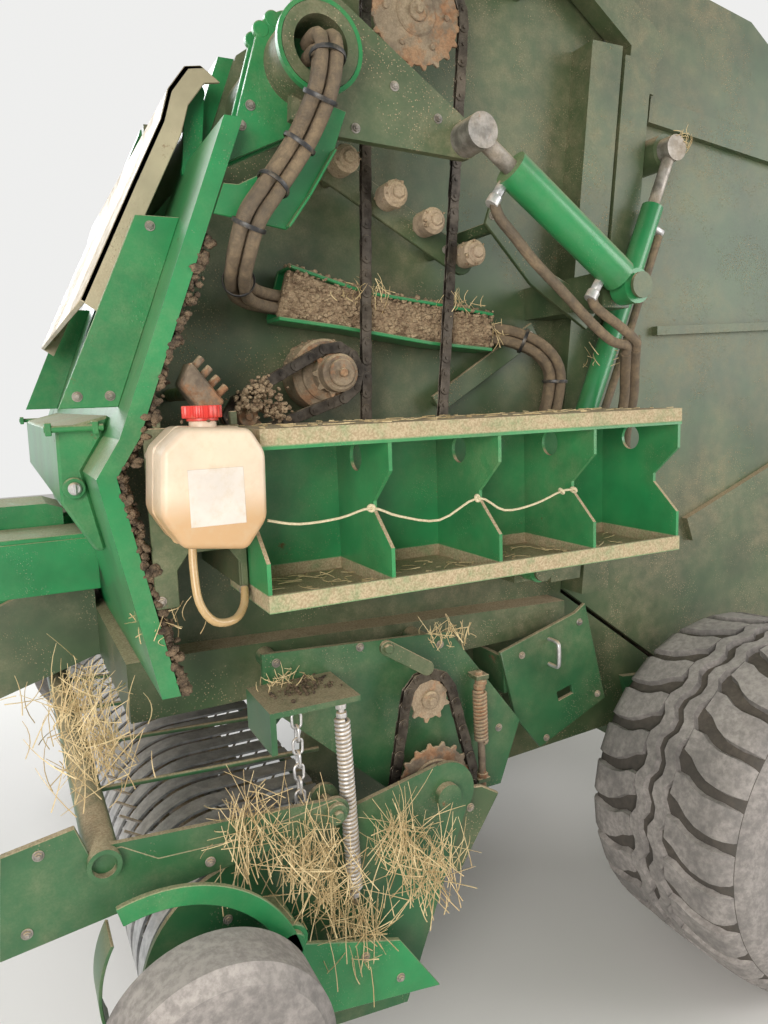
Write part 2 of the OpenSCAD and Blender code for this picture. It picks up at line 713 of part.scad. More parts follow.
// Lift cylinders of the tailgate
module lift_barrels() {
    color(paint_bright) centred() both_sides() difference() {
        union() {
            rod_xz(lift_base, along(lift_base, lift_top, 0.86), lift_r, -lift_y);
            rod_y(lift_base, 34, -lift_y - 22, -lift_y + 22);
        }
        rod_xz(along(lift_base, lift_top, 0.1), along(lift_base, lift_top, 0.87), lift_rod_r + run_gap, -lift_y);
        rod_y(lift_base, 18 + run_gap, -lift_y - 30, -lift_y + 30);
    }
}
module lift_rods() {
    color(zinc) centred() both_sides() {
        rod_xz(along(lift_base, lift_top, 0.13), lift_top, lift_rod_r, -lift_y);
        rod_y(lift_top, 34, -lift_y - 20, -lift_y + 20 - seat_gap);
    }
}

// Belt tension arm
nose = [105, 2125];
tens_base = [530, 1829];
tens_y = 975;
module tension_arm() {
    color(paint_dusty) centred() {
        difference() {
            rod_y(cross_c, cross_r, -1000, 1000);
            rod_y(cross_c, cross_bore_r, -1001, 1001);
        }
        both_sides() {
            xz(-930, -910) difference() {
                union() {
                    polygon([cross_c + [-20, 130], cross_c + [60, 130], nose + [10, 38], nose + [0, -38],
                        cross_c + [30, -130], cross_c + [-40, -110]]);
                    translate(nose) circle(r = 38);
                }
                translate(cross_c) circle(r = cross_r - 2);
            }
        }
    }
}
module tension_barrels() {
    far = along(tens_base, nose, 0.80);
    color(paint_bright) centred() both_sides() difference() {
        union() {
            rod_xz(along(tens_base, nose, 0.08), far, tens_r, -tens_y);
            rod_y(tens_base, 40, -tens_y - 25, -tens_y + 25);
        }
        rod_xz(along(tens_base, nose, 0.16), along(tens_base, nose, 0.82), tens_rod_r + run_gap, -tens_y);
        rod_y(tens_base, 20 + run_gap, -tens_y - 26, -tens_y + 26);
    }
}
module tension_rods() {
    color(zinc) centred() both_sides() {
        rod_xz(along(tens_base, nose, 0.2), nose, tens_rod_r, -tens_y);
        rod_y(nose, 36, -tens_y - 25, -930 - seat_gap);
    }
}

// Pickup
reel_c = [-460, 440];
pickup_tube = [-180, reel_c[1] - band_r + band_t + 35];
gauge_c = [-600, 470];
press_pivot = [-300, 760];
module pickup_frame() {
    color(paint) centred() {
        both_sides() {
            xz(-pickup_y - 12, -pickup_y) difference() {
                union() {
                    translate(reel_c) circle(r = band_r + 8);
                    polygon([reel_c + [-60, 228], rotor_c + [-20, 75], rotor_c + [60, -30], [-120, 210], reel_c + [0, -200]]);
                    translate(rotor_c) circle(r = 75);
                    link([-300, 700], press_pivot, 60);
                }
                translate(rotor_c) circle(r = shaft_r + run_gap);
                translate(reel_c) circle(r = 20 + run_gap);
            }
            rod_y(press_pivot, 12, -1036, -pickup_y);
            rod_y(spring_low, 9, -1012, -pickup_y);
        }
        rod_y(pickup_tube, 35, -pickup_y, pickup_y);
        box(-250, -232, -pickup_y, pickup_y, 640, reel_c[1] + band_r - band_t);
    }
}
band_half = floor((pickup_y - 6 - band_w / 2) / band_pitch);
module band_2d() {
    difference() {
        union() {
            translate(reel_c) circle(r = band_r, $fn = 96);
            translate([reel_c[0], reel_c[1] - band_r]) square([-180 - reel_c[0], 2 * band_r]);
        }
        translate(reel_c) circle(r = band_r - band_t, $fn = 96);
        translate([reel_c[0], reel_c[1] - band_r + band_t]) square([400, 2 * (band_r - band_t)]);
        translate([-232, reel_c[1]]) square([200, band_r + 1]);
    }
}
module stripper_bands() {
    color(zinc) centred() for (i = [-band_half:band_half])
        xz(i * band_pitch - band_w / 2, i * band_pitch + band_w / 2) band_2d();
}
module gauge_arms() {
    color(paint_bright) centred() both_sides() {
        rod_y([-430, 560], 26, -1096, -pickup_y - 12);
        xz(-1096, -1084) union() {
            ring_sector(gauge_c, gauge_r + 25, gauge_r + 75, 20, 150);
            link([-430, 560], gauge_c, 70);
        }
        rod_y(gauge_c, 18, -1120 - gauge_w, -1084);
    }
}
module gauge_wheel() {
    rotate([90, 0, 0]) rotate_extrude($fn = 60) polygon([
        [18 + run_gap, -60], [50, -60], [50, -12], [100, -12], [100, -gauge_w / 2 + 6], [gauge_r - 24, -gauge_w / 2],
        [gauge_r, -gauge_w / 2 + 26], [gauge_r, gauge_w / 2 - 26], [gauge_r - 24, gauge_w / 2],
        [100, gauge_w / 2 - 6], [100, 12], [50, 12], [50, 60], [18 + run_gap, 60]]);
}
gauge_y = 1112 + 160 / 2;
module gauge_wheel_left() { color(dark) centred() translate([gauge_c[0], -gauge_y, gauge_c[1]]) gauge_wheel(); }
module gauge_wheel_right() { color(dark) centred() translate([gauge_c[0], gauge_y, gauge_c[1]]) gauge_wheel(); }
tine_bar_r = 150;
module tine_reel() {
    color(steel) centred() {
        rod_y(reel_c, 45, -pickup_y + 12, pickup_y - 12);
        rod_y(reel_c, 20, -pickup_y - 14, pickup_y + 14);
        both_sides() rod_y(reel_c, tine_bar_r + 20, -pickup_y + 20, -pickup_y + 12);
        rod_y(reel_c, tine_bar_r + 20, -4, 4);
        for (b = [0:tine_bars - 1]) {
            a = 40 + b * 360 / tine_bars;
            c = reel_c + tine_bar_r * [cos(a), sin(a)];
            rod_y(c, 16, -pickup_y + 14, pickup_y - 14);
            for (i = [-band_half:band_half - 1])
                rod_xz(c, reel_c + tine_tip_r * [cos(a + 8), sin(a + 8)], tine_r, (i + 0.5) * band_pitch, $fn = 6);
        }
    }
}
press_tube = [-747, 793];
module crop_press() {
    color(paint) centred() {
        difference() {
            rod_y(press_tube, 30, -1052, 1052);
            rod_y(press_tube, 22, -1060, -900);
            rod_y(press_tube, 22, 900, 1060);
        }
        both_sides() xz(-1034, -1022) difference() {
            link(press_pivot, press_tube, 56);
            translate(press_pivot) circle(r = 12 + run_gap);
        }
        for (y = [-750:250:750]) rod_xz(press_tube, [-226, 764], 6, y);
    }
}
module feed_rotor() {
    color(paint_bright) centred() {
        rod_y(rotor_c, 70, -half_w + 8, half_w - 8);
        rod_y(rotor_c, rotor_journal_r, -wall_out - 5, wall_out + 5);
        for (i = [-4:4]) translate([0, i * 130, 0]) xz(-5, 5) translate(rotor_c) rotate(i * 27)
            for (k = [0:2]) rotate(120 * k) polygon([[40, -60], [rotor_r - 12, -14], [rotor_r - 2, 10], [120, 30], [40, 60]]);
    }
}

// Side guards: a bent sheet hinged along the roof rail, trimmed to the front frame
guard_x0 = -700;
guard_x1 = 556;
module guard_shape() {
    h = guard_hinge;
    o = guard_out;
    t = guard_t;
    translate([0, h[0], h[1]]) {
        intersection() {
            translate([guard_x0 - 60, 0, 0]) rotate([90, 0, 90]) linear_extrude(guard_x1 - guard_x0 + 60) polygon([
                [14, 12], [o - 110, -40], [o, -190], [o, -guard_drop], [o - t, -guard_drop],
                [o - t, -198], [o - 122, -64], [14, -12]]);
            xz(-20, o + 20) polygon([[-690, 1463 - h[1]], [-649, 1532 - h[1]], [-421, 2107 - h[1]], [-230, 40],
                [guard_x1, 40], [guard_x1, -guard_drop], [-610, -guard_drop]]);
        }
        // Front fold that closes onto the front frame
        xz(flange_y + 15 - h[0], o - t / 2) intersection() {
            polygon([for (p = concat(front_line, reversed([for (q = front_line) q + [22, 0]]))) p - [0, h[1]]]);
            translate([-800, -guard_drop]) square([900, guard_drop - 520]);
        }
        for (x = knuckles) difference() {
            union() {
                rod_x(x, knuckle_l, 12);
                translate([x, 0, -11]) cube([knuckle_l, 20, 18]);
            }
            rod_x(x - 1, knuckle_l + 2, 6 + run_gap);
        }
    }
}
module guard_right() { color(paint_bright) centred() guard_shape(); }
module guard_left() {
    h = guard_hinge;
    color(paint_bright) centred() mirror([0, 1, 0]) translate([0, h[0], h[1]]) rotate([guard_open, 0, 0])
        translate([0, -h[0], -h[1]]) guard_shape();
}

axle_beam();
chassis();
tow_eye();
jack_tube();
left_wall();
right_wall();
bulkhead();
roof_sheet();
chamber_rollers();
front_belts();
net_box();
gearbox();
intake_sides();
relief_springs();
side_cover();
twine_box_left();
twine_box_right();
oil_tank();
oil_cap();
tank_bracket();
hose_tray();
idler_arm();
drive_chains();
drive_sprockets();
lube_block();
tail_wall_left();
tail_wall_right();
tail_shell();
tail_belts();
tail_drums();
tail_lamps();
lift_barrels();
lift_rods();
tension_arm();
tension_barrels();
tension_rods();
pickup_frame();
stripper_bands();
gauge_arms();
tine_reel();
gauge_wheel_left();
gauge_wheel_right();
crop_press();
feed_rotor();
net_hood();
guard_left();
guard_right();
tyre_left();
rim_left();
tyre_right();
rim_right();
jack_leg();
pto_stub();
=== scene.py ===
# %% [markdown]
# A round baler, parked on its jack with the left side guard standing open.
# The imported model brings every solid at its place, in metres, with the tractor end at -X and the
# open side at -Y. This lesson dresses it: paint under dust, rust, tyres, chains, hoses, hay and
# everything small that a designer leaves to the finishing.

import json
import math
import random

import bpy
from mathutils import Matrix, Vector, noise as value_noise


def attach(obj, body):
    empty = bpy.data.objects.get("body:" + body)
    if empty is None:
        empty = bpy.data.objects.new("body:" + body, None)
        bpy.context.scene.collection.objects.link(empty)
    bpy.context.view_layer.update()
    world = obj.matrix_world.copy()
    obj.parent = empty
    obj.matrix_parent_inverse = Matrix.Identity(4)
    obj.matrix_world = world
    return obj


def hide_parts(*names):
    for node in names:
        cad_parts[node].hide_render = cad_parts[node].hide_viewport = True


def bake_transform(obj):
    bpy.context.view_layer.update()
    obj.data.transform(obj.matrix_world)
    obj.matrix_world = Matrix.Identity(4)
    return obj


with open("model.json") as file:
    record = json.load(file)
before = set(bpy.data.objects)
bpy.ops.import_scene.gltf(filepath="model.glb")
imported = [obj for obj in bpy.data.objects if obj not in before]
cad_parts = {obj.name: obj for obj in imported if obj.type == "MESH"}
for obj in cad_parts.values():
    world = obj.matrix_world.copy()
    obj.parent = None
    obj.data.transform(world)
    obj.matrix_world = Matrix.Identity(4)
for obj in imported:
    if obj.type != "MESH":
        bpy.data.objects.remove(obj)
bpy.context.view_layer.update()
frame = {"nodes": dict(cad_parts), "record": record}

# %% [markdown]
# The camera stands a pace from the left side at eye height and looks forward along it, tilted a
# little. The three directions were solved from the straight edges of the twine box, and the lens
# from how fast they come together.

# %% Camera
camera_place = Vector((-0.848, -1.862, 1.592))
look_right = Vector((0.8946, -0.4455, -0.0336))
look_up = Vector((0.0962, 0.1156, 0.9888))
look_back = look_right.cross(look_up)

camera_data = bpy.data.cameras.new("camera")
camera_data.lens = 27.42
camera_data.sensor_width = 36
camera_data.clip_start = 0.01
camera = bpy.data.objects.new("camera", camera_data)
turn = Matrix((look_right, look_up, look_back)).transposed()
camera.matrix_world = Matrix.Translation(camera_place) @ turn.to_4x4()
bpy.context.scene.collection.objects.link(camera)
bpy.context.scene.camera = camera
print("camera at", tuple(camera_place))

# %% [markdown]
# The studio is a pale floor, an even pale sky and three big soft lamps. The guard makes a roof over
# the open side, so the main lamp stands low on the left and shines in under it. What the camera,
# gloss and glass see behind the object is nearly white. The first helpers wire shader nodes, for
# the sky and for every finish after it.

# %% Studio
def fed(node, inputs):
    """Gives a node's inputs numbers, colours or the outputs of other nodes."""
    for key, value in inputs.items():
        socket = node.inputs[key]
        if isinstance(value, bpy.types.NodeSocket):
            node.id_data.links.new(value, socket)
        else:
            socket.default_value = (*value, 1) if socket.type == "RGBA" else value
    return node


def wired(tree, kind, inputs, **settings):
    """A new shader node with its settings and inputs."""
    node = tree.nodes.new("ShaderNode" + kind)
    for key, value in settings.items():
        setattr(node, key, value)
    return fed(node, inputs)


def maths(operation, a, b, clamp=False):
    return wired(a.id_data, "Math", {0: a, 1: b}, operation=operation, use_clamp=clamp).outputs[0]


def most(a, b):
    return maths("MAXIMUM", a, b)


def sky():
    world = bpy.data.worlds.new("sky")
    bpy.context.scene.world = world
    world.use_nodes = True
    tree = world.node_tree
    lit = fed(tree.nodes["Background"], {"Color": (1.0, 0.98, 0.95), "Strength": 0.55})
    seen = wired(tree, "Background", {"Color": (0.86, 0.86, 0.85)})
    ray = tree.nodes.new("ShaderNodeLightPath").outputs
    straight = most(most(ray["Is Camera Ray"], ray["Is Glossy Ray"]), ray["Is Transmission Ray"])
    mix = wired(tree, "MixShader", {0: straight, 1: lit.outputs[0], 2: seen.outputs[0]})
    fed(tree.nodes["World Output"], {"Surface": mix.outputs[0]})


def soft_lamp(name, place, aim, size, power, colour):
    data = bpy.data.lights.new(name, "AREA")
    data.size, data.energy, data.color = size, power, colour
    lamp = bpy.data.objects.new(name, data)
    lamp.location = place
    lamp.rotation_euler = (Vector(aim) - Vector(place)).to_track_quat("-Z", "Y").to_euler()
    bpy.context.scene.collection.objects.link(lamp)


bpy.ops.mesh.primitive_plane_add(size=28, location=(0, 0, -0.002))
floor = bpy.context.object
floor.name = "floor"
floor_finish = bpy.data.materials.new("floor")
floor_finish.use_nodes = True
fed(floor_finish.node_tree.nodes["Principled BSDF"], {"Base Color": (0.80, 0.79, 0.77), "Roughness": 0.9})
floor.data.materials.append(floor_finish)

sky()
soft_lamp("door_light", (-3.4, -4.6, 2.2), (0.0, -0.2, 1.3), 2.6, 260, (1.0, 0.96, 0.9))
soft_lamp("rear_light", (5.0, -4.0, 2.6), (0.8, -0.3, 1.2), 3.0, 170, (1.0, 0.98, 0.96))
soft_lamp("far_light", (-2.0, 6.0, 4.5), (0.0, 0.8, 1.4), 4.0, 320, (0.95, 0.97, 1.0))
bpy.context.scene.view_settings.view_transform = "Standard"
print("lamps", len(bpy.data.lights))

# %% [markdown]
# Nearly every finish here is something clean with something dirty on it, so a few helpers build the
# patterns once. All read Object coordinates: each solid's object sits at the origin, so a length in
# a pattern is a length in metres, and dust runs on from one piece to its neighbour.

# %% Helpers for finishes
finishes = {}


def kinds(maker, *rows):
    """Makes one finish of each row: its name, then what the maker asks for."""
    for name, *amounts in rows:
        finishes[name] = maker(name, *amounts)
    print(maker.__name__, [row[0] for row in rows])


def new_finish(name):
    """A material with its shader and its object coordinates."""
    material = bpy.data.materials.new(name)
    material.use_nodes = True
    nodes = material.node_tree.nodes
    return material, nodes["Principled BSDF"], nodes.new("ShaderNodeTexCoord").outputs["Object"]


def times(a, b):
    return maths("MULTIPLY", a, b)


def plus(a, b, clamp=False):
    return maths("ADD", a, b, clamp)


def noise(where, scale, detail=5.0, rough=0.6):
    """A noise value; scale counts waves in a metre."""
    inputs = {"Vector": where, "Scale": scale, "Detail": detail, "Roughness": rough}
    return wired(where.id_data, "TexNoise", inputs).outputs["Fac"]


def cells(where, scale):
    """Distance to the nearest of many scattered points."""
    return wired(where.id_data, "TexVoronoi", {"Vector": where, "Scale": scale}).outputs["Distance"]


def between(value, low, high, out_low=0.0, out_high=1.0):
    """Maps low..high to out_low..out_high, clamped, with soft ends."""
    inputs = {"Value": value, "From Min": low, "From Max": high, "To Min": out_low, "To Max": out_high}
    return wired(value.id_data, "MapRange", inputs, interpolation_type="SMOOTHSTEP").outputs["Result"]


def blended(share, a, b):
    """Colour a where share is 0 and b where it is 1."""
    return wired(share.id_data, "Mix", {"Factor": share, 6: a, 7: b}, data_type="RGBA").outputs[2]


def mottled(value, a, b, low=0.35, high=0.65):
    return blended(between(value, low, high), a, b)


def shade(colour, share):
    return tuple(c * share for c in colour)


def height(vector):
    return wired(vector.id_data, "SeparateXYZ", {0: vector}).outputs["Z"]


def facing_up(where, low=0.25, high=0.85):
    """1 on surfaces that face upwards, where dust settles."""
    geometry = where.id_data.nodes.new("ShaderNodeNewGeometry")
    return between(height(geometry.outputs["Normal"]), low, high)


def surfaced(shader, inputs, relief, distance, strength):
    """The last step of a finish: what the shader shows, and its relief."""
    bump = wired(shader.id_data, "Bump", {"Distance": distance, "Strength": strength, "Height": relief})
    fed(shader, {**inputs, "Normal": bump.outputs["Normal"]})


# %% [markdown]
# The paint is a gloss green that has seen many harvests. Dust lies thick on everything that faces
# up, hangs on the walls as a film with a broad drift to it, and sticks as grains and short bits of
# straw. Rust comes through in small patches. Each finish is the same recipe with other amounts; the
# dusty green is also kept darker as painted shade.

# %% Paint under dust
DUST = (0.36, 0.265, 0.16)
DUST_PALE = (0.52, 0.41, 0.27)
RUST = (0.16, 0.066, 0.028)


def paint(name, colour, film, on_top, grains, rust, gloss=0.35, ledges=()):
    """Paint with dust on it; ledges are heights between which the dust lies as thick as on top."""
    material, shader, where = new_finish(name)
    fine = noise(where, 26, 8, 0.7)
    tiny = noise(where, 240, 3)
    # A film that comes and goes, thicker where it faces up
    drift = between(noise(where, 2.3, 4), 0.35, 0.68, 0.0, film)
    veil = times(drift, between(fine, 0.3, 0.75, 0.25, 1.0))
    top = times(facing_up(where), between(fine, 0.2, 0.55, on_top * 0.55, on_top))
    grit = between(cells(where, 170), 0.16, 0.3, 1.0, 0.0)
    specks = times(grit, between(noise(where, 7, 3), 0.48, 0.62, 0.0, grains))
    dusty = most(plus(veil, top, True), specks)
    for low, high in ledges:
        ledge = times(between(height(where), low, low + 0.006),
                      between(height(where), high, high + 0.004, 1.0, 0.0))
        dusty = most(dusty, times(ledge, between(fine, 0.2, 0.6, 0.45, 0.95)))
    # The paint itself is a little uneven, and rust shows through in spots
    skin = mottled(noise(where, 5, 4), colour, shade(colour, 0.72))
    spots = between(noise(where, 14, 9, 0.72), 0.66 - 0.12 * rust, 0.74 - 0.12 * rust, 0.0, 0.9)
    soil = mottled(tiny, DUST, DUST_PALE)
    surfaced(shader, {"Base Color": blended(dusty, blended(spots, skin, RUST), soil),
                      "Roughness": between(plus(dusty, spots, True), 0.0, 0.8, gloss, 0.95)},
             plus(times(dusty, tiny), times(specks, 0.8)), 0.003, 0.55)
    return material


kinds(paint,
      ("green_paint", (0.020, 0.105, 0.038), 0.30, 0.75, 0.35, 0.1),
      # The dusty green is darker than its paint and dust alone would give: painted shade of a wall in shade
      ("dusty_green", (0.048, 0.088, 0.036), 0.36, 0.95, 0.8, 0.08, 0.45),
      ("bright_green", (0.014, 0.225, 0.070), 0.16, 0.6, 0.2, 0.05, 0.28),
      ("cream_paint", (0.50, 0.44, 0.30), 0.45, 0.8, 0.5, 0.2, 0.4))

# %% [markdown]
# Bare metal on a field machine is never one grey. A mottled base, brown where damp has got at it,
# and dust in a thin film that thickens on top: three layers, mixed by noise at three scales.

# %% Iron, steel and zinc
RUST_PALE = (0.30, 0.15, 0.075)


def metal(name, dark, light, rusty, film, metallic, rough, on_top=0.8):
    material, shader, where = new_finish(name)
    fine = noise(where, 38, 7, 0.65)
    eaten = between(noise(where, 11, 9, 0.7), 0.74 - 0.4 * rusty, 0.84 - 0.4 * rusty)
    skin = blended(eaten, mottled(fine, dark, light), mottled(noise(where, 75, 6), RUST, RUST_PALE))
    cloud = between(noise(where, 5, 7, 0.65), 0.35, 0.7, 0.0, film)
    top = times(facing_up(where), between(fine, 0.25, 0.5, on_top * 0.6, on_top))
    powder = plus(cloud, top, True)
    covered = most(powder, eaten)
    surfaced(shader, {"Base Color": blended(powder, skin, mottled(noise(where, 260, 2), DUST, DUST_PALE)),
                      "Metallic": between(covered, 0.0, 0.7, metallic, 0.0),
                      "Roughness": between(covered, 0.0, 0.7, rough, 0.93)},
             plus(times(eaten, fine), times(powder, fine)), 0.0015, 0.6)
    return material


kinds(metal,
      ("caked_iron", (0.20, 0.15, 0.11), (0.40, 0.31, 0.23), 0.3, 0.95, 0.1, 0.8, 1.0),
      ("rusty_iron", (0.10, 0.075, 0.055), (0.22, 0.17, 0.12), 0.7, 0.5, 0.2, 0.7),
      ("bare_steel", (0.16, 0.15, 0.135), (0.34, 0.32, 0.30), 0.35, 0.45, 0.6, 0.45),
      ("chain_steel", (0.018, 0.015, 0.013), (0.07, 0.06, 0.05), 0.15, 0.15, 0.7, 0.3, 0.35),
      ("zinc", (0.42, 0.43, 0.45), (0.66, 0.66, 0.67), 0.12, 0.3, 0.75, 0.35),
      ("band_zinc", (0.33, 0.34, 0.36), (0.55, 0.56, 0.57), 0.08, 0.15, 0.7, 0.35, 0.3))

# %% [markdown]
# Rubber and plastic. The tyres and belts are grey with dust and only dark where something rubs, and
# in the tyre's grooves, which get a darker rubber as painted shade. The tank is milky plastic that
# lets light in, amber where the oil stands in it. The hoses carry a woven guard, so their finish has
# a fine diagonal relief.

# %% Rubber and plastic
def woven(where, scale, turn):
    """Diagonal bands; turn is 1 or -1 for the two ways that threads cross."""
    turned = wired(where.id_data, "Mapping", {"Vector": where, "Scale": (1, 1, turn)}).outputs["Vector"]
    return wired(where.id_data, "TexWave", {"Vector": turned, "Scale": scale}, wave_type="BANDS",
                 bands_direction="DIAGONAL").outputs["Fac"]


def rubber(name, dark, dust, weave, rough, film):
    material, shader, where = new_finish(name)
    fine = noise(where, 60, 6, 0.7)
    film_at = times(between(noise(where, 7, 6, 0.65), 0.3, 0.65, film * 0.45, film),
                    between(fine, 0.25, 0.7, 0.55, 1.0))
    powder = plus(film_at, times(facing_up(where, 0.35, 0.95), 0.45), True)
    relief = fine
    if weave:
        relief = plus(most(woven(where, weave, 1), woven(where, weave, -1)), times(fine, 0.6))
    surfaced(shader, {"Base Color": blended(powder, dark, mottled(fine, dust, shade(dust, 1.25))),
                      "Roughness": between(powder, 0.0, 0.7, rough - 0.25, 0.95)},
             relief, 0.0012, 0.6 if weave else 0.25)
    return material


def plastic(name, colour, rough, dusty, low_colour=None, level=0.0, glow=0.0):
    """Plastic with a little dust; below the level, in metres, it has its low colour."""
    material, shader, where = new_finish(name)
    skin = mottled(noise(where, 12, 4), colour, shade(colour, 0.85), 0.3, 0.7)
    if low_colour:
        skin = blended(between(height(where), level + 0.035, level - 0.035), skin, low_colour)
    fine = noise(where, 45, 7, 0.7)
    powder = plus(between(fine, 0.45, 0.75, 0.0, dusty), times(facing_up(where, 0.5, 0.95), dusty), True)
    inputs = {"Base Color": blended(powder, skin, DUST_PALE),
              "Roughness": between(powder, 0.0, 0.6, rough, 0.9)}
    if glow:
        inputs.update({"Subsurface Weight": glow, "Subsurface Radius": (0.03, 0.02, 0.012)})
    surfaced(shader, inputs, fine, 0.0008, 0.3)
    return material


kinds(rubber,
      # The first is the tyre's groove rubber, kept darker as painted shade in the grooves
      ("groove_rubber", (0.03, 0.028, 0.026), (0.13, 0.11, 0.09), 0, 0.9, 0.5),
      ("tyre_rubber", (0.075, 0.072, 0.070), (0.36, 0.33, 0.31), 0, 0.75, 0.7),
      ("belt_rubber", (0.025, 0.024, 0.022), (0.24, 0.19, 0.13), 150, 0.8, 0.5),
      ("hose_rubber", (0.035, 0.03, 0.026), (0.26, 0.19, 0.115), 210, 0.75, 0.75))
kinds(plastic,
      ("tank_plastic", (0.72, 0.58, 0.44), 0.4, 0.4, (0.52, 0.33, 0.17), 1.42, 0.10),
      ("paper", (0.66, 0.60, 0.54), 0.6, 0.5), ("oil_hose", (0.50, 0.34, 0.16), 0.25, 0.3),
      ("red_plastic", (0.62, 0.035, 0.025), 0.35, 0.25), ("black_plastic", (0.02, 0.02, 0.022), 0.4, 0.3))

# %% [markdown]
# Dirt and straw are materials of their own: dirt crusts stand proud of what they sit on, and straw
# is pale, dry and slightly glossy along its length.

# %% Dirt, straw and twine
def loose(name, dark, light, scale, distance, rough=0.95):
    material, shader, where = new_finish(name)
    lumps = noise(where, scale, 9, 0.72)
    grains = cells(where, scale * 9)
    skin = mottled(lumps, dark, light, 0.32, 0.66)
    skin = blended(between(grains, 0.05, 0.4, 0.35, 0.0), skin, shade(dark, 0.55))
    surfaced(shader, {"Base Color": skin, "Roughness": rough}, plus(lumps, times(grains, 0.5)),
             distance, 0.9)
    return material


kinds(loose,
      ("dirt", (0.19, 0.125, 0.075), (0.44, 0.33, 0.21), 34, 0.006),
      ("dark_dirt", (0.045, 0.032, 0.022), (0.22, 0.155, 0.095), 34, 0.006),
      ("straw", (0.40, 0.28, 0.13), (0.72, 0.58, 0.33), 14, 0.001, 0.7),
      ("twine", (0.50, 0.42, 0.26), (0.70, 0.62, 0.42), 160, 0.001, 0.85))

# %% [markdown]
# Every imported solid keeps its shape and gets the finish of its slot, apart from a few that the
# photograph shows in another state: the inside of the twine boxes still has its bright green with
# dust on two ledges, rods and stripper bands are bare metal, and the tension arm has the dusty green,
# whose colour holds painted shade as well as dust.

# %% Finishes for the imported solids
kinds(paint, ("box_green", (0.028, 0.26, 0.085), 0.22, 1.0, 0.25, 0.05, 0.3,
              ((1.198, 1.232), (1.508, 1.546))))
own_finish = {"twine_box_left": "box_green", "twine_box_right": "box_green", "tension_rods": "bare_steel",
              "lift_rods": "bare_steel", "stripper_bands": "band_zinc", "tension_arm": "dusty_green"}
slot_of = {part["node"]: part["material_slot"] for part in frame["record"]["subparts"]}
for node_name, solid in frame["nodes"].items():
    solid.material_slots[0].material = finishes[own_finish.get(node_name, slot_of[node_name])]
print("own finishes", own_finish)

# %% [markdown]
# New pieces are modelled the way it is done by hand: a primitive, shaped in edit mode, finished with
# modifiers. These helpers only save repetition. MID is the machine's own centreline, because the
# open guard pushes the middle of the footprint to one side.

# %% Helpers for pieces
MID = 0.55288
mesh = bpy.ops.mesh
ACROSS = (math.pi / 2, 0, 0)  # turns a primitive's axis along Y
WALL = -620  # where the studs and spacers of the left wall start, in mm


def at(x, y, z):
    """A point given in millimetres from the machine's centreline."""
    return Vector((x / 1000, y / 1000 + MID, z / 1000))


def only(*objects):
    if bpy.context.object and bpy.context.object.mode != "OBJECT":
        bpy.ops.object.mode_set(mode="OBJECT")
    bpy.ops.object.select_all(action="DESELECT")
    for thing in objects:
        thing.select_set(True)
    if objects:
        bpy.context.view_layer.objects.active = objects[0]


def added(operator, **settings):
    only()
    operator(**settings)
    return bpy.context.object


def modified(thing, kind, **settings):
    only(thing)
    modifier = thing.modifiers.new(kind, kind)
    for key, value in settings.items():
        setattr(modifier, key, value)
    bpy.ops.object.modifier_apply(modifier=modifier.name)
    return thing


def bevelled(thing, width, segments=1, **settings):
    return modified(thing, "BEVEL", width=width, segments=segments, **settings)


def edited(thing, *steps):
    """Takes a whole mesh through edit mode; each step is an operator with its settings."""
    only(thing)
    bpy.ops.object.mode_set(mode="EDIT")
    for operator, settings in steps:
        mesh.select_all(action="SELECT")
        operator(**settings)
    bpy.ops.object.mode_set(mode="OBJECT")
    return thing


def extruded(thing, *way):
    return edited(thing, (mesh.extrude_region_move, {"TRANSFORM_OT_translate": {"value": way}}))


def settled(thing):
    """Turns an object's place and size into its mesh's own."""
    thing.data.transform(thing.matrix_world)
    thing.matrix_world = Matrix.Identity(4)
    return thing


def twin_of(thing, place):
    twin = bpy.data.objects.new(thing.name, thing.data.copy())
    bpy.context.scene.collection.objects.link(twin)
    twin.data.transform(place)
    return twin


def joined(*things):
    only(*things)
    if len(things) > 1:
        bpy.ops.object.join()
    return bpy.context.object


def copies(thing, places):
    """One mesh object out of a copy of thing at each matrix; thing itself stays."""
    return joined(*[twin_of(thing, place) for place in places])


def both(thing):
    """The piece together with its mirror image on the other side of the machine."""
    twin = twin_of(thing, Matrix.Translation((0, 2 * MID, 0)) @ Matrix.Scale(-1, 4, (0, 1, 0)))
    twin.data.flip_normals()
    return joined(thing, twin)


def facing(direction, place):
    """A matrix that stands local Z along a direction at a place."""
    return Matrix.Translation(place) @ Vector(direction).to_track_quat("Z", "Y").to_matrix().to_4x4()


def plate(points, y0, y1, bevel=0.0015):
    """An outline in the XZ plane, in millimetres, extruded from y0 to y1."""
    sheet = added(mesh.primitive_circle_add, vertices=len(points), radius=1, fill_type="NGON")
    for vertex, (x, z) in zip(sheet.data.vertices, points):
        vertex.co = at(x, y0, z)
    extruded(sheet, 0, (y1 - y0) / 1000, 0)
    return bevelled(sheet, bevel) if bevel else sheet


def block(x0, x1, y0, y1, z0, z1, bevel=0.0015):
    return plate([(x0, z0), (x1, z0), (x1, z1), (x0, z1)], y0, y1, bevel)


def rod(p, q, r, sides=20, bevel=0.0012):
    """A round bar between two points in millimetres."""
    start, end = at(*p), at(*q)
    bar = added(mesh.primitive_cylinder_add, vertices=sides, radius=r / 1000, depth=(end - start).length)
    bevelled(bar, bevel)
    bar.data.transform(facing(end - start, (start + end) / 2))
    return bar


def disc(centre, r, y0, y1, sides=40, bevel=0.002):
    x, z = centre
    return rod((x, y0, z), (x, y1, z), r, sides, bevel)


def discs(centre, *rows):
    return [disc(centre, *row) for row in rows]


def polar(centre, r, a):
    """The point at distance r and angle a, in radians, from a centre in the XZ plane."""
    return centre[0] + r * math.cos(a), centre[1] + r * math.sin(a)


def arc(centre, r, a0, a1, steps):
    """Points along an arc, its angles in degrees."""
    return [polar(centre, r, math.radians(a0 + (a1 - a0) * k / steps)) for k in range(steps + 1)]


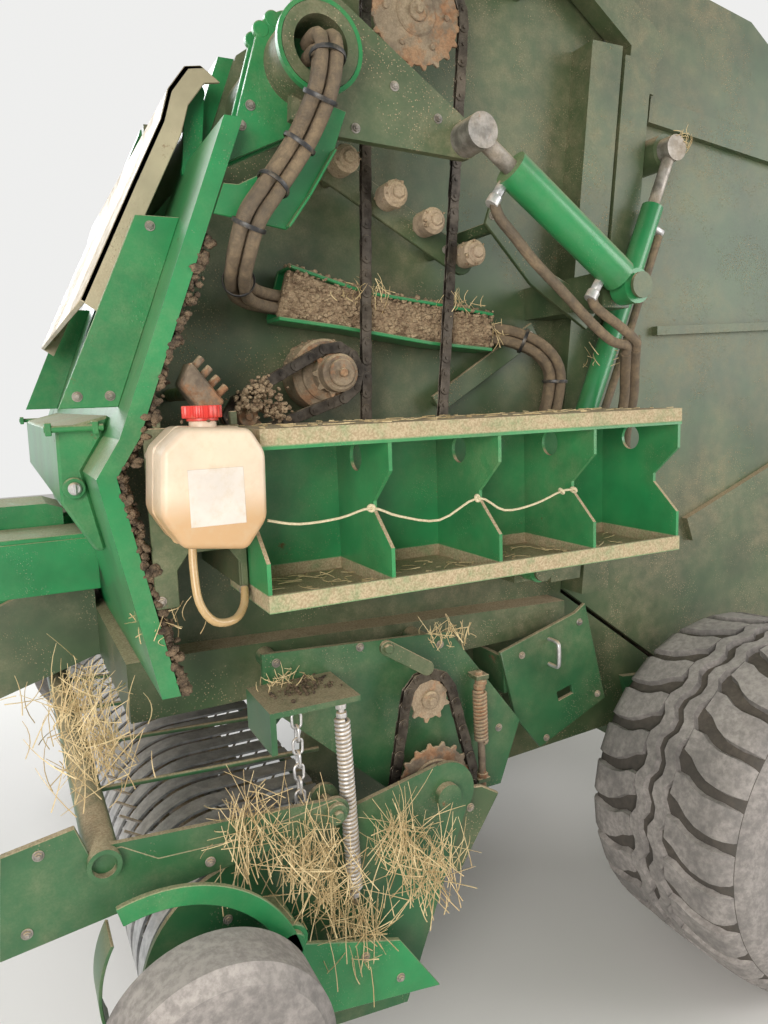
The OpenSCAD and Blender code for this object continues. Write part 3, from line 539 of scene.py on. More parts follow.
def arc_shape(centre, r0, r1, a0, a1, steps=20):
    return arc(centre, r1, a0, a1, steps) + arc(centre, r0, a1, a0, steps)


def link_shape(p, q, w):
    """Outline of a flat bar with round ends."""
    lean = math.degrees(math.atan2(q[1] - p[1], q[0] - p[0]))
    return arc(q, w / 2, lean - 90, lean + 90, 8) + arc(p, w / 2, lean + 90, lean + 270, 8)


def bar_shape(p, q, w):
    p, q = Vector(p), Vector(q)
    side = (q - p).normalized().orthogonal() * w / 2
    return [tuple(p + side), tuple(q + side), tuple(q - side), tuple(p - side)]


def piece(name, finish, parts, body="root", angle=35, twin=False, instead_of=None):
    """One piece of the scene out of its parts, riding on a body; twin mirrors it to the other side."""
    thing = joined(*parts)
    if twin:
        thing = both(thing)
    settled(thing)
    thing.name = name
    thing.data.name = name
    thing.data.materials.clear()
    thing.data.materials.append(finishes[finish])
    edited(thing, (mesh.normals_make_consistent, {"inside": False}))
    bpy.ops.object.shade_smooth_by_angle(angle=math.radians(angle))
    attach(thing, body)
    if instead_of:
        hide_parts(instead_of)
    print(name, "faces", len(thing.data.polygons))
    return thing


# %% [markdown]
# The tyre is the largest thing low in the picture. Its section is a closed outline spun round the
# axle. Each tread bar is a flat strip that is laid over the tyre: one function knows how the outer
# surface runs from the crown over the shoulder, and every vertex of the strip is placed by it.

# %% Tyre body
tyre_r, crown_half, shoulder_r, shoulder_bend = 0.452, 0.175, 0.052, math.radians(62)
tyre_outline = [(0.216, -0.150), (0.230, -0.152), (0.262, -0.206), (0.300, -0.233), (0.345, -0.246),
                (0.392, -0.243), (0.422, -0.228), (0.440, -0.205), (0.4475, -0.170), (0.4515, -0.100),
                (0.453, 0.0)]
tyre_outline += [(r, -y) for r, y in reversed(tyre_outline[:-1])]


def spun(outline, centre, steps=96):
    """Spins a closed outline of (radius, across) about a line along Y through centre."""
    ring = added(mesh.primitive_circle_add, vertices=len(outline), radius=1)
    for vertex, (r, y) in zip(ring.data.vertices, outline):
        vertex.co = (r, y, 0)
    edited(ring, (mesh.spin, {"steps": steps, "angle": math.tau, "center": (0, 0, 0), "axis": (0, 1, 0)}),
           (mesh.remove_doubles, {"threshold": 0.0002}), (mesh.normals_make_consistent, {"inside": False}))
    ring.data.transform(Matrix.Translation(centre))
    return ring


def over_tyre(round_by, across, lift):
    """Point on the tyre: metres round it, metres out from its middle line along the surface, lift."""
    side, w = math.copysign(1, across), abs(across)
    if w <= crown_half:
        y, r, ny, nr = w, tyre_r + 0.0015 - 0.006 * (w / crown_half) ** 2, 0.0, 1.0
    else:
        turn = min((w - crown_half) / shoulder_r, shoulder_bend)
        past = max(w - crown_half - shoulder_r * shoulder_bend, 0)
        ny, nr = math.sin(turn), math.cos(turn)
        y = crown_half + shoulder_r * ny + past * nr * 0.6
        r = tyre_r - 0.0045 - shoulder_r * (1 - nr) - past * ny
    x, z = polar((0, 0), r + lift * nr, round_by / tyre_r)
    return Vector((x, side * (y + lift * ny), z))


print("tyre outline", len(tyre_outline), "points")

# %% [markdown]
# A strip is a grid, one field wide, pulled up into a solid. The bars run from beside the middle line
# down over the shoulder, the two zigzag ribs run round the crown between them.

# %% Tread bars and ribs
lug_count = 26
pitch = math.tau * tyre_r / lug_count
strip_height, strip_foot = 0.0155, -0.004
# Middle line of a shoulder bar: metres round, metres across, half width, height
bar_line = [(0.004, 0.058, 0.028, 0.0155), (0.010, 0.085, 0.033, 0.0155), (0.028, 0.112, 0.036, 0.0155),
            (0.038, 0.140, 0.039, 0.0155), (0.040, 0.168, 0.041, 0.015), (0.040, 0.188, 0.042, 0.0145),
            (0.040, 0.206, 0.041, 0.013), (0.040, 0.224, 0.040, 0.010), (0.040, 0.246, 0.037, 0.005)]


def laid(fields, corner):
    """A strip laid over the tyre; corner says where each end of each step goes, below and on top."""
    grid = added(mesh.primitive_grid_add, x_subdivisions=fields, y_subdivisions=1, size=1)
    extruded(grid, 0, 0, 1)
    for vertex in grid.data.vertices:
        x, y, z = vertex.co
        vertex.co = over_tyre(*corner(round((x + 0.5) * fields), math.copysign(1, y), z > 0.5))
    return grid


def side_tread(side):
    """The bars and the rib of one half of the tyre, offset by half a pitch from the other's."""
    bar_start = 0.0 if side > 0 else pitch * 0.5

    def bar_corner(step, edge, top):
        along, across, half, rise = bar_line[step]
        half *= 0.95 if top else 1.08
        return along + bar_start + edge * half, side * across, rise if top else strip_foot

    def rib_corner(step, edge, top):
        across = 0.030 + (0.010 if step % 4 in (1, 2) else -0.008) + edge * 0.017 * (0.92 if top else 1.1)
        return (step / 4 + 0.5) * pitch - bar_start, side * across, strip_height if top else strip_foot

    bar = laid(len(bar_line) - 1, bar_corner)
    bars = copies(bar, [Matrix.Rotation(-math.tau * k / lug_count, 4, "Y") for k in range(lug_count)])
    bpy.data.objects.remove(bar)
    return [bars, laid(4 * lug_count, rib_corner)]


def wall_ring(r, y):
    return settled(added(mesh.primitive_torus_add, major_radius=r, minor_radius=0.0035, major_segments=72,
                         minor_segments=6, rotation=ACROSS, location=(0, y, 0)))


axle = at(1000, 0, 470)
for name, side in (("left", -1), ("right", 1)):
    carcass = spun(tyre_outline, (0, 0, 0))
    body_faces = len(carcass.data.polygons)
    rings = [wall_ring(r, y * inset) for y in (-0.241, 0.241)
             for r, inset in ((0.300, 0.975), (0.392, 0.99))]
    whole = joined(carcass, *side_tread(1), *side_tread(-1), *rings)
    whole.data.transform(Matrix.Translation(axle + Vector((0, side * 1.05, 0))))
    tread = piece(f"tyre_{name}_tread", "tyre_rubber", [whole], "wheel_" + name, angle=30)
    # Between the bars the rubber is darker: painted shade in the grooves
    tread.data.materials.append(finishes["groove_rubber"])
    for face in tread.data.polygons[:body_faces]:
        if math.hypot(face.center.x - axle.x, face.center.z - axle.z) > 0.415:
            face.material_index = 1
    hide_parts("tyre_" + name)

# %% [markdown]
# The chains are roller chains. One outer link, one inner link and one roller are modelled, and
# copied along a loop of two arcs joined by the outer tangents.

# %% Chain links
CHAIN_PITCH = 38


def crosswise(sides, radius, depth, x=0.0, y=0.0):
    """A cylinder with its axis across the chain, in metres."""
    return settled(added(mesh.primitive_cylinder_add, vertices=sides, radius=radius, depth=depth,
                         rotation=ACROSS, location=(x, y, 0)))


def link_template(half_gap):
    """Two waisted plates with their pins, along X, as wide as the gap asks."""
    half_pitch = CHAIN_PITCH / 2000
    parts = []
    for side in (-1, 1):
        cheek = crosswise(20, 0.0125, 0.0018, 0, side * half_gap)
        for vertex in cheek.data.vertices:
            vertex.co.x += math.copysign(half_pitch, vertex.co.x)
            vertex.co.z *= 1 - 0.28 * max(0, 1 - abs(vertex.co.x) / half_pitch)
        parts.append(bevelled(cheek, 0.0008))
    pins = [crosswise(12, 0.0045, 2 * half_gap + 0.006, end * half_pitch) for end in (-1, 1)]
    return joined(*parts, *pins)


def loop_points(p, rp, q, rq):
    """Points at even steps along a chain round two sprockets, in millimetres."""
    p, q = Vector(p), Vector(q)
    line = q - p
    heading, a = math.atan2(line.y, line.x), math.acos((rp - rq) / line.length)
    run, arc_q, arc_p = line.length * math.sin(a), rq * 2 * a, rp * (math.tau - 2 * a)
    total = 2 * run + arc_q + arc_p
    count = 2 * round(total / CHAIN_PITCH / 2)
    points = []
    for s in [total * k / count for k in range(count)]:
        if s < run:
            point = polar(polar(p, rp, heading + a), s, heading + a - math.pi / 2)
        elif s < run + arc_q:
            point = polar(q, rq, heading + a - (s - run) / rq)
        elif s < 2 * run + arc_q:
            point = polar(polar(q, rq, heading - a), s - run - arc_q, heading - a - math.pi / 2)
        else:
            point = polar(p, rp, heading - a - (s - 2 * run - arc_q) / rp)
        points.append(Vector(point))
    return points


# %% [markdown]
# Three chains run on the open side. Each row says where the two sprockets stand, how large they are
# and in which layer the chain runs; the rollers lie a little outside the root of the teeth.

# %% Chains on their sprockets
runs = [((95, 2448), 119, (28, 1400), 93, 750), ((-150, 1648), 52, (-360, 1560), 34, 772),
        ((-11, 900), 54, (-4, 690), 100, 916)]
ROLLER_LIFT = 7
outer, inner = link_template(0.0068), link_template(0.0046)
bush = bevelled(crosswise(16, 0.0095, 0.0085), 0.0008)
chain_parts = []
for p, rp, q, rq, layer in runs:
    joints = loop_points(p, rp + ROLLER_LIFT, q, rq + ROLLER_LIFT)
    spots = []
    for point, following in zip(joints, joints[1:] + joints[:1]):
        middle, lean = (point + following) / 2, following - point
        turn = Matrix.Rotation(-math.atan2(lean.y, lean.x), 4, "Y")
        stretch = Matrix.Scale(lean.length / CHAIN_PITCH, 4, (1, 0, 0))
        spots.append(Matrix.Translation(at(middle.x, -layer, middle.y)) @ turn @ stretch)
    rollers = [Matrix.Translation(at(point.x, -layer, point.y)) for point in joints]
    chain_parts += [copies(outer, spots[1::2]), copies(inner, spots[::2]), copies(bush, rollers)]
for template in (outer, inner, bush):
    bpy.data.objects.remove(template)
piece("roller_chains", "chain_steel", chain_parts, angle=40, instead_of="drive_chains")

# %% [markdown]
# The relief springs are close-wound coils on a threaded rod with nuts. A small circle is swept round
# and up by the screw modifier.

# %% Relief springs
WIRE = 0.0042


def coil(bottom, top, radius, turns, steps=14):
    ring = settled(added(mesh.primitive_circle_add, vertices=8, radius=WIRE, rotation=ACROSS))
    ring.data.transform(Matrix.Translation((radius - WIRE, 0, 0)))
    modified(ring, "SCREW", angle=math.tau * turns, screw_offset=(top - bottom).length, axis="Z",
             steps=steps * turns, render_steps=steps * turns, use_smooth_shade=True)
    ring.data.transform(facing(top - bottom, bottom))
    return ring


for name, side in (("spring_left", -1), ("spring_right", 1)):
    foot, head, rod_foot, rod_head, nut_foot, nut_head = (at(x, side * 995, z) for x, z in (
        (-249, 556), (-262, 938), (-249, 536), (-263, 974.4), (-249, 540), (-263, 966)))
    wound = coil(foot, head, 0.0175, 42)
    way = rod_head - rod_foot
    thread = added(mesh.primitive_cylinder_add, vertices=16, radius=0.006, depth=way.length)
    thread.data.transform(facing(way, (rod_head + rod_foot) / 2))
    edited(thread, (mesh.subdivide, {"number_cuts": 6}))
    nuts = []
    for share in (0.0, 0.955, 1.0):
        nut = added(mesh.primitive_cylinder_add, vertices=6, radius=0.0125, depth=0.011)
        bevelled(nut, 0.0012, 2).data.transform(facing(head - foot, nut_foot.lerp(nut_head, share)))
        nuts.append(nut)
    spring = joined(wound, thread, *nuts)
    spring.name = name
    spring.data.materials.clear()
    spring.data.materials.append(finishes["zinc"])
    only(spring)
    bpy.ops.object.shade_smooth_by_angle(angle=math.radians(40))
    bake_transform(spring)
    if side < 0:
        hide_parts("relief_springs")
    print(name, len(spring.data.polygons))

# %% [markdown]
# The steel link chains hang beside the springs. One link is a torus pulled into a stadium; every
# second one is turned by a quarter.

# %% Hanging link chains
link = settled(added(mesh.primitive_torus_add, major_radius=0.010, minor_radius=0.003, major_segments=20,
                     minor_segments=8, rotation=ACROSS))
for vertex in link.data.vertices:
    vertex.co.z += math.copysign(0.007, vertex.co.z)
link_step, link_count = 27.7, 9
turned = Matrix.Rotation(math.pi / 2, 4, "Z")
spots = [Matrix.Translation(at(-360, side * 993, 955 - link_step * k)) @ (turned if k % 2 else Matrix())
         for side in (-1, 1) for k in range(link_count)]
piece("link_chains", "zinc", [copies(link, spots)], angle=60)
bpy.data.objects.remove(link)

# %% [markdown]
# The open side carries the drives. The sprockets are toothed discs, the drum of the twisted run
# stands on its own shaft, and four idler rollers hang on a slanted arm. Everything stands at the
# places that the chains of the cell above run over.

# %% Sprockets, drum and idler arm
def toothed(centre, r, layer):
    """A sprocket whose teeth stand a chain pitch apart."""
    count = round(math.tau * r / CHAIN_PITCH)
    tooth = ((0, -8), (0.25, -9), (0.42, 2), (0.58, 2), (0.75, -9))
    rim = [polar(centre, r + rise, math.tau * (i + share) / count)
           for i in range(count) for share, rise in tooth]
    return plate(rim, -layer - 3.2, -layer + 3.2, 0.0008)


drive = []
for p, rp, q, rq, layer in runs[:2]:
    for centre, r in ((p, rp), (q, rq)):
        drive += [toothed(centre, r, layer)]
        drive += discs(centre, (22, -layer - 16, WALL, 24), (r * 0.42, -layer - 9, -layer + 9, 32, 0.004),
                       (9, -layer - 24, -layer, 6, 0.001))
        if r > 80:
            drive += [disc(polar(centre, r * 0.66, math.tau * k / 6), 7, -layer - 8, -layer, 6, 0.001)
                      for k in range(6)]
drum = (-150, 1648)
drive += discs(drum, (81, -724, -640, 48, 0.006), (62, -738, -720, 40, 0.004), (42, -810, -724, 32, 0.005),
               (30, -818, -806, 28), (11, -828, -815, 6))
p, rp, q, rq, layer = runs[2]
for centre, r in ((p, rp), (q, rq)):
    drive += [toothed(centre, r, layer)]
    drive += discs(centre, (r * 0.4, -layer - 14, -850, 28, 0.004), (10, -layer - 22, -layer, 6, 0.001))
drive.append(disc(q, 62, -layer - 8, -layer, 40, 0.003))
piece("sprockets_and_drum", "rusty_iron", drive, instead_of="drive_sprockets")

idlers = [(-104, 2108), (13, 2045), (110, 1992), (222, 1926)]
arm = [plate(link_shape((-120, 2115), (235, 1920), 66), -702, -690)]
arm += [disc(spot, 14, -691, WALL) for spot in ((-90, 2100), (190, 1945))]
piece("idler_bar", "dusty_green", arm, instead_of="idler_arm")
rollers = []
for spot in idlers:
    rollers += discs(spot, (12, -802, -701, 20), (30, -790, -730, 32, 0.006), (24, -795, -725, 28, 0.003),
                     (15, -803, -790, 6))
piece("idler_rollers", "caked_iron", rollers)

# %% [markdown]
# The tray under the hoses is two bent strips on a back plate, and a channel brings the hoses down
# to it from the end of the cross tube.

# %% Hose tray and oil distributor
low = [(-262, 1776), (-113, 1758), (124, 1722), (302, 1706)]
top = [(-228, 1888), (-47, 1837), (127, 1816), (307, 1792)]
channel = [(-246, 2160), (-271, 2104), (-304, 2038), (-401, 1990), (-430, 1990), (-452, 1935), (-310, 1914),
           (-265, 1974), (-207, 2064), (-176, 2143)]
tray = [plate(low + top[::-1], -650, -640)]
tray += [plate(line + [(x, z - thick) for x, z in line[::-1]], -735, -649)
         for line, thick in ((low, 9), (top, 8))]
tray += [block(x, x + 30, -641, WALL, 1770, 1784) for x in (-180, 170)]
tray.append(plate(channel, -946, -940))
tray += [plate(bar_shape(*pair, 5), -965, -945) for pair in
         (((-272, 2104), (-305, 2038)), ((-312, 1916), (-267, 1976)), ((-267, 1976), (-209, 2066)))]
piece("tray_and_channel", "bright_green", tray, instead_of="hose_tray")

oiler = [plate([(-527, 1628), (-505, 1671), (-444, 1593), (-480, 1560)], -920, -860, 0.004),
         disc((-487, 1612), 14, -861, WALL)]
for share in (0.15, 0.38, 0.61, 0.84):
    start = Vector((-505, 1671)).lerp(Vector((-444, 1593)), share)
    end = Vector((-487, 1690)).lerp(Vector((-424, 1610)), share)
    oiler.append(rod((start.x, -895, start.y), (end.x, -895, end.y), 8, 6))
piece("oil_distributor", "rusty_iron", oiler, instead_of="lube_block")

# %% [markdown]
# Every hose is a tube on a smoothed path. A bundle is one middle line and offsets that are carried
# along it without twisting, so the four hoses keep their places beside each other.

# %% Hoses
def smooth(points, steps=4):
    p, path = [Vector(q) for q in points], []
    for i in range(len(p) - 1):
        a, b, c, d = p[max(i - 1, 0)], p[i], p[i + 1], p[min(i + 2, len(p) - 1)]
        for t in [k / steps for k in range(steps)]:
            path.append(0.5 * (2 * b + (c - a) * t + (2 * a - 5 * b + 4 * c - d) * t * t
                               + (3 * b - a - 3 * c + d) * t ** 3))
    return path + [p[-1]]


def beside(path, a, b):
    """The path moved a along its carried side direction and b across it."""
    side, moved = Vector((1, 0, 0)), []
    for i, point in enumerate(path):
        ahead = (path[min(i + 1, len(path) - 1)] - path[max(i - 1, 0)]).normalized()
        side = (side - side.dot(ahead) * ahead).normalized()
        moved.append(point + a * side + b * ahead.cross(side))
    return moved


def hose(path, r):
    line = added(bpy.ops.curve.primitive_nurbs_path_add)
    line.data.splines.clear()
    spline = line.data.splines.new("POLY")
    spline.points.add(len(path) - 1)
    for knot, point in zip(spline.points, path):
        knot.co = (*at(*point), 1)
    line.data.bevel_depth = r / 1000
    line.data.bevel_resolution = 2
    line.data.use_fill_caps = True
    only(line)
    bpy.ops.object.convert(target="MESH")
    return settled(bpy.context.object)


def measured(name, path):
    print(name, round(sum((b - a).length for a, b in zip(path, path[1:])) / 1000, 2), "m")
    return path


def hoses_of(name, parts, body="root", twin=True):
    piece(name, "hose_rubber", parts, body, 60, twin)


bundle = [(-246, -960, 2232), (-247, -1008, 2230), (-252, -1042, 2205), (-260, -1044, 2155),
          (-270, -1030, 2118), (-288, -996, 2070), (-316, -984, 2026), (-356, -984, 1972),
          (-390, -982, 1924), (-402, -952, 1872), (-392, -880, 1836), (-352, -780, 1818),
          (-280, -704, 1812), (-200, -687, 1807), (-113, -686, 1800), (124, -686, 1764),
          (296, -686, 1746), (372, -702, 1738), (440, -738, 1704), (478, -756, 1650), (478, -754, 1580),
          (452, -748, 1490), (404, -730, 1380), (398, -694, 1270), (420, -668, 1222), (420, -668, 1163)]
feed = [(578, -930, 1682), (612, -892, 1630), (644, -856, 1565), (650, -826, 1470), (650, -826, 1410)]
gap = 13.3
middle = measured("bundle hoses", smooth(bundle))
hoses = [hose(beside(middle, a, b), 13) for a in (-gap, gap) for b in (-gap, gap)]
feed_path = measured("feed hoses", smooth(feed))
feeds = [hose(beside(feed_path, a, 0), 13) for a in (-gap, gap)]
hoses_of("service_hoses", [*hoses, both(joined(*feeds))], twin=False)
piece("hose_blocks", "zinc", [block(617.3, 681, -852, -800, 1360, 1410, 0.004)], twin=True)

start, ahead = Vector(feed[0]), (Vector(feed[1]) - Vector(feed[0])).normalized()
aside = (Vector((1, 0, 0)) - ahead.x * ahead).normalized() * gap
end = start - 2.5 * ahead
lower = [(162.8, -960, 2008.6), (158, -960, 1994), (172, -960, 1964), (208, -960, 1930), (262, -958, 1880),
         (340, -956, 1820), (430, -952, 1750), (504, -944, 1706), end - aside - 24 * ahead, end - aside]
upper = [(434.8, -960, 1819.1), (429, -960, 1804), (438, -960, 1784), (472, -958, 1764), (524, -950, 1740),
         end + aside - 24 * ahead, end + aside]
hoses_of("tension_hoses", [hose(measured("tension hose", smooth(line)), 12) for line in (lower, upper)],
         "tension_barrels")
ports = []
base, nose_pin = Vector((530, 1829)), Vector((105, 2125))
down = Vector((-0.5715, -0.8206))
for share in (0.78, 0.14):
    here = base.lerp(nose_pin, share)
    a, b, c = ((spot.x, -960, spot.y) for spot in (here + reach * down for reach in (30, 64, 86)))
    ports += [rod(a, b, 13, 6), rod(b, c, 15, 20)]
piece("tension_ports", "zinc", ports, "tension_barrels", twin=True)

foot, head_pin = Vector((422, 1120)), Vector((895, 2239))
across = Vector((0.9211, -0.3893))


def by_lift(share, w):
    """A point beside the lift cylinder: its share of the way up, and millimetres away from it."""
    spot = foot.lerp(head_pin, share) + w * across
    return spot.x, -745, spot.y


lift_path = smooth([by_lift(*k) for k in ((0.81, 52), (0.6, 58), (0.4, 60), (0.2, 56), (0.07, 52))])
hoses_of("lift_hoses", [hose(measured("lift hose", lift_path), 11)], "lift_barrels")
ports = [rod(by_lift(share, 20), by_lift(share, 60), 11, 6) for share in (0.06, 0.82)]
piece("lift_ports", "zinc", ports, "lift_barrels", twin=True)

# Ties that hold the bundle together, at numbered points of its middle line
ties = []
for i in (9, 15, 21, 27, 33, 41, 62, 70, 78):
    tie = added(mesh.primitive_torus_add, major_radius=0.0315, minor_radius=0.0022, major_segments=32,
                minor_segments=6)
    tie.data.transform(facing(middle[i + 1] - middle[i - 1], at(*middle[i])) @ Matrix.Diagonal((1, 1, 2.2, 1)))
    ties.append(tie)
piece("hose_ties", "black_plastic", ties, angle=60)

# %% [markdown]
# The oil tank is an eight-sided blown bottle: its outline is extruded across, with a raised seam in
# the middle, and all its edges are rounded wide. The cap is a ribbed cylinder.

# %% Oil tank, cap and bracket
tank_line = [(-605, 1516), (-564, 1553), (-452, 1547), (-427, 1505), (-430, 1387), (-468, 1335),
             (-579, 1348), (-614, 1406)]
bottle = bevelled(plate(tank_line, -1105, -945, 0), 0.012, 4)
tank_middle = Vector((-519, 1447))
seam_line = [tuple(tank_middle + (Vector(p) - tank_middle) * 1.012) for p in tank_line]
neck = rod((-516, -1025, 1536), (-516, -1025, 1563), 24, 32, 0.002)
piece("oil_bottle", "tank_plastic", [bottle, plate(seam_line, -1030, -1022, 0.003), neck], angle=50,
      instead_of="oil_tank")
cap_corners, cap_axis = 96, at(-516, -1025, 1577)
cap = settled(added(mesh.primitive_cylinder_add, vertices=cap_corners, radius=0.035, depth=0.022,
                    location=cap_axis))
for vertex in cap.data.vertices:
    away = (vertex.co - cap_axis).xy.to_3d()
    if round(math.atan2(away.y, away.x) / math.tau * cap_corners) % 4 in (2, 3):
        vertex.co -= away.normalized() * 0.0022
bevelled(cap, 0.0016, 2, angle_limit=1.0)
skirt = rod((-516, -1025, 1561), (-516, -1025, 1568), 28, 48)
piece("ribbed_cap", "red_plastic", [cap, skirt], angle=30, instead_of="oil_cap")
label = block(-566, -470, -1106.2, -1104.6, 1384, 1482, 0.0005)
piece("blank_label", "paper", [label])
holder = [plate([(-607, 1209), (-607, 1549), (-427, 1549), (-427, 1209), (-440, 1209), (-440, 1280),
                 (-462, 1311), (-540, 1311), (-563, 1280), (-563, 1209)], -945, -935)]
holder += [block(x, x + 12, -936, WALL, 1230, 1300) for x in (-590, -442)]
holder += [block(x, x + 14, -945, -935, 1549, 1575) for x in (-588, -444)]
piece("tank_holder", "dusty_green", holder, instead_of="tank_bracket")

# The clear hose that hangs in a loop under the tank
loop = [(-545, -1010, 1347), (-548, -1016, 1300), (-545, -1030, 1235), (-520, -1034, 1196),
        (-480, -1020, 1190), (-452, -990, 1206), (-440, -960, 1232)]
drain = hose(measured("drain hose", smooth(loop)), 8)
piece("drain_hose", "oil_hose", [drain], angle=60)

# %% [markdown]
# Sheet-metal parts of the front frame: the two bearing plates of the cross tube, the cowl over the
# net roll, the box below it with its catch, and the narrow decks beside the drawbar.

# %% Front frame plates
bearing = [(-386, 2107), (-413, 2038)] + arc((-246, 2232), 104, -70, 140, 21)
parts = []
for y in (830, 880):
    parts.append(plate(bearing, -y - 12, -y))
    parts += [disc(spot, 16, -y - 13, -y + 1, 20) for spot in ((-298, 2312), (-322, 2290))]
piece("cross_bearings", "bright_green", parts, twin=True)
collar = spun([(0.076, -0.006), (0.084, -0.006), (0.084, 0.006), (0.076, 0.006)], at(-246, -993, 2232), 48)
piece("tube_collars", "bright_green", [collar], "tension_arm", twin=True)

line = [(-392, 2286), (-426, 2280), (-463, 2232), (-482, 2172), (-552, 2036), (-668, 1806)]
cowl = [plate(line + [(x + 9, z - 6) for x, z in line[::-1]], -700, 700),
        both(plate(line + [(x + 40, z - 28) for x, z in line[::-1]], -700, -690)),
        rod((-395, -630, 2250), (-395, 630, 2250), 24)]
cowl += [plate([(-392, 2284), (-459, 2232), (-415, 2240), (-395, 2250)], y, y + 12) for y in (-630, 0, 618)]
piece("net_cowl", "cream_paint", cowl, "net_hood", instead_of="net_hood")

bars = [rod((-762, -750, 1551), (-650, -750, 1551), 7)]
bars += [block(x, x + 12, -758, -720, 1538, 1564) for x in (-760, -672)]
catch = (-714, 1430)
cover = plate([(-632, 1575), (-739, 1549), (-741, 1400), (-683, 1295), (-661, 1295), (-694, 1463),
               (-649, 1532)], -720, 720, 0.006)
piece("net_cover", "bright_green", [cover, disc(catch, 22, -734, -720, 32), both(joined(*bars))],
      instead_of="net_box")
piece("cover_lock", "zinc", [disc(catch, 13, -744, -733, 24, 0.003),
                             block(-717, -711, -752, -743, 1418, 1442, 0.002)])
piece("decks_and_cheeks", "bright_green",
      [block(-900, -655.5, -330, -130, 1265, 1277), block(-900, -640, -330, -318, 1130, 1265),
       plate([(-567, 1955), (-735, 1590), (-626, 1590), (-481, 1955)], -806, -796)], twin=True)

# %% [markdown]
# Dirt and straw. One crumb and one blade are modelled and copied many times with a fixed seed: the
# crumbs pack the front of the tray, hang along the inner edge of the front frame and sit on the
# rollers, the blades lie in tufts where the crop catches.

# %% Crumbs and blades
random.seed(11)


def crumb_shape(number):
    lump = added(mesh.primitive_ico_sphere_add, subdivisions=2, radius=1)
    for vertex in lump.data.vertices:
        vertex.co *= 1 + 0.42 * value_noise.noise(vertex.co * 1.6 + Vector((number * 7, 0, 0)))
    return lump


def scattered(templates, spots, name, finish, body="root", angle=60):
    """Copies the templates at spots of (place in mm, three sizes in mm, turn about Z, tilt)."""
    groups = [[] for _ in templates]
    for number, (place, size, spin_by, tilt) in enumerate(spots):
        turned = Matrix.Rotation(spin_by, 4, "Z") @ Matrix.Rotation(tilt, 4, "X")
        sized = Matrix.Diagonal((*(Vector(size) / 1000), 1))
        groups[number % len(templates)].append(Matrix.Translation(at(*place)) @ turned @ sized)
    piece(name, finish, [copies(t, group) for t, group in zip(templates, groups)], body, angle)


def near(place, spread):
    return tuple(c + random.gauss(0, s) for c, s in zip(place, spread))


def spin():
    return random.uniform(0, 6.3)


def crumb(place, low, high):
    r = random.uniform(low, high)
    size = (r * random.uniform(0.8, 1.6), r * 0.8, r * random.uniform(0.7, 1.2))
    return place, size, spin(), spin()


def along_line(line, share):
    """The point at a share of a polyline's length."""
    spans = [(Vector(a), Vector(b)) for a, b in zip(line, line[1:])]
    left = share * sum((b - a).length for a, b in spans)
    for a, b in spans:
        if left <= (b - a).length:
            return a.lerp(b, left / (b - a).length)
        left -= (b - a).length
    return b


crumbs = [crumb_shape(k) for k in range(3)]
spots = []
for _ in range(1100):
    share, rise = random.random(), random.uniform(0.03, 0.97)
    x, z = along_line(low, share).lerp(along_line(top, share), rise)
    spots.append(crumb((x, -724 - 7 * random.random(), z), 2, 6.5))
for _ in range(160):
    x, z = along_line(top, random.random())
    spots.append(crumb((x, random.uniform(-735, -655), z + 3), 3, 8))
# On the idler rollers, then on top of the drum
rounds = [(spot, 27, 26, (0, math.tau), (-795, -728)) for spot in idlers]
rounds.append((drum, 80, 60, (0.1, 3.0), (-722, -642)))
for centre, r, count, angles, layers in rounds:
    for _ in range(count):
        x, z = polar(centre, r, random.uniform(*angles))
        spots.append(crumb((x, random.uniform(*layers), z), 2, 6))
for place in [(-366, -820, 1594), (-306, -800, 1571), (-332, -800, 1619)]:
    spots += [crumb(near(place, (16, 14, 11)), 2, 7) for _ in range(90)]
scattered(crumbs, spots, "dirt_on_drives", "dirt")
bed = plate([(x, z + 1) for x, z in low] + [(x - 4, z - 9) for x, z in top[::-1]], -727, -702, 0.006)
piece("dirt_in_tray", "dirt", [bed])

edge = [(-575, 1036), (-659, 1463), (-614, 1532), (-560, 1668), (-470, 1895)]
spots = []
for _ in range(620):
    x, z = along_line(edge, random.random() ** 1.25)
    spots.append(crumb((x + abs(random.gauss(4, 9)), -948 + abs(random.gauss(0, 30)), z), 3, 10))
for x, y, z, spread in ((-322, -930, 990, 60), (-300, -900, 990, 50), (-516, -1020, 1560, 30)):
    spots += [crumb((random.gauss(x, spread / 2), random.gauss(y, 22), z + 1), 1.5, 4) for _ in range(50)]
scattered(crumbs, spots, "dirt_on_frame", "dark_dirt")

blade = added(mesh.primitive_cone_add, vertices=3, radius1=1, radius2=0.5, depth=1)
edited(blade, *[(mesh.bisect, {"plane_co": (0, 0, z), "plane_no": (0, 0, 1)})
                for z in (-0.3, -0.1, 0.1, 0.3)])
straws = [blade, twin_of(blade, Matrix.Identity(4))]
for blade, bend in zip(straws, (14, 34)):
    for vertex in blade.data.vertices:
        vertex.co.x += bend * (0.25 - vertex.co.z ** 2)


def straw(place, lean, low, high, thick=1.3):
    return place, (thick, thick, random.uniform(low, high)), spin(), random.gauss(0, lean)


def tufts(places, count, spread, lean, low, high):
    return [straw(near(place, spread), lean, low, high) for place in places for _ in range(count)]


on_pickup = tufts([(-484, -1045, 780), (-386, -1045, 709), (-326, -1045, 624), (-164, -1045, 663),
                   (-94, -1045, 572), (-265, -1045, 490)], 85, (34, 16, 34), 0.9, 60, 190)
on_pickup += tufts([(-734, -880, 935), (-751, -860, 1033)], 130, (40, 60, 30), 1.2, 40, 130)
scattered(straws, on_pickup, "straw_on_pickup", "straw", "pickup", 30)
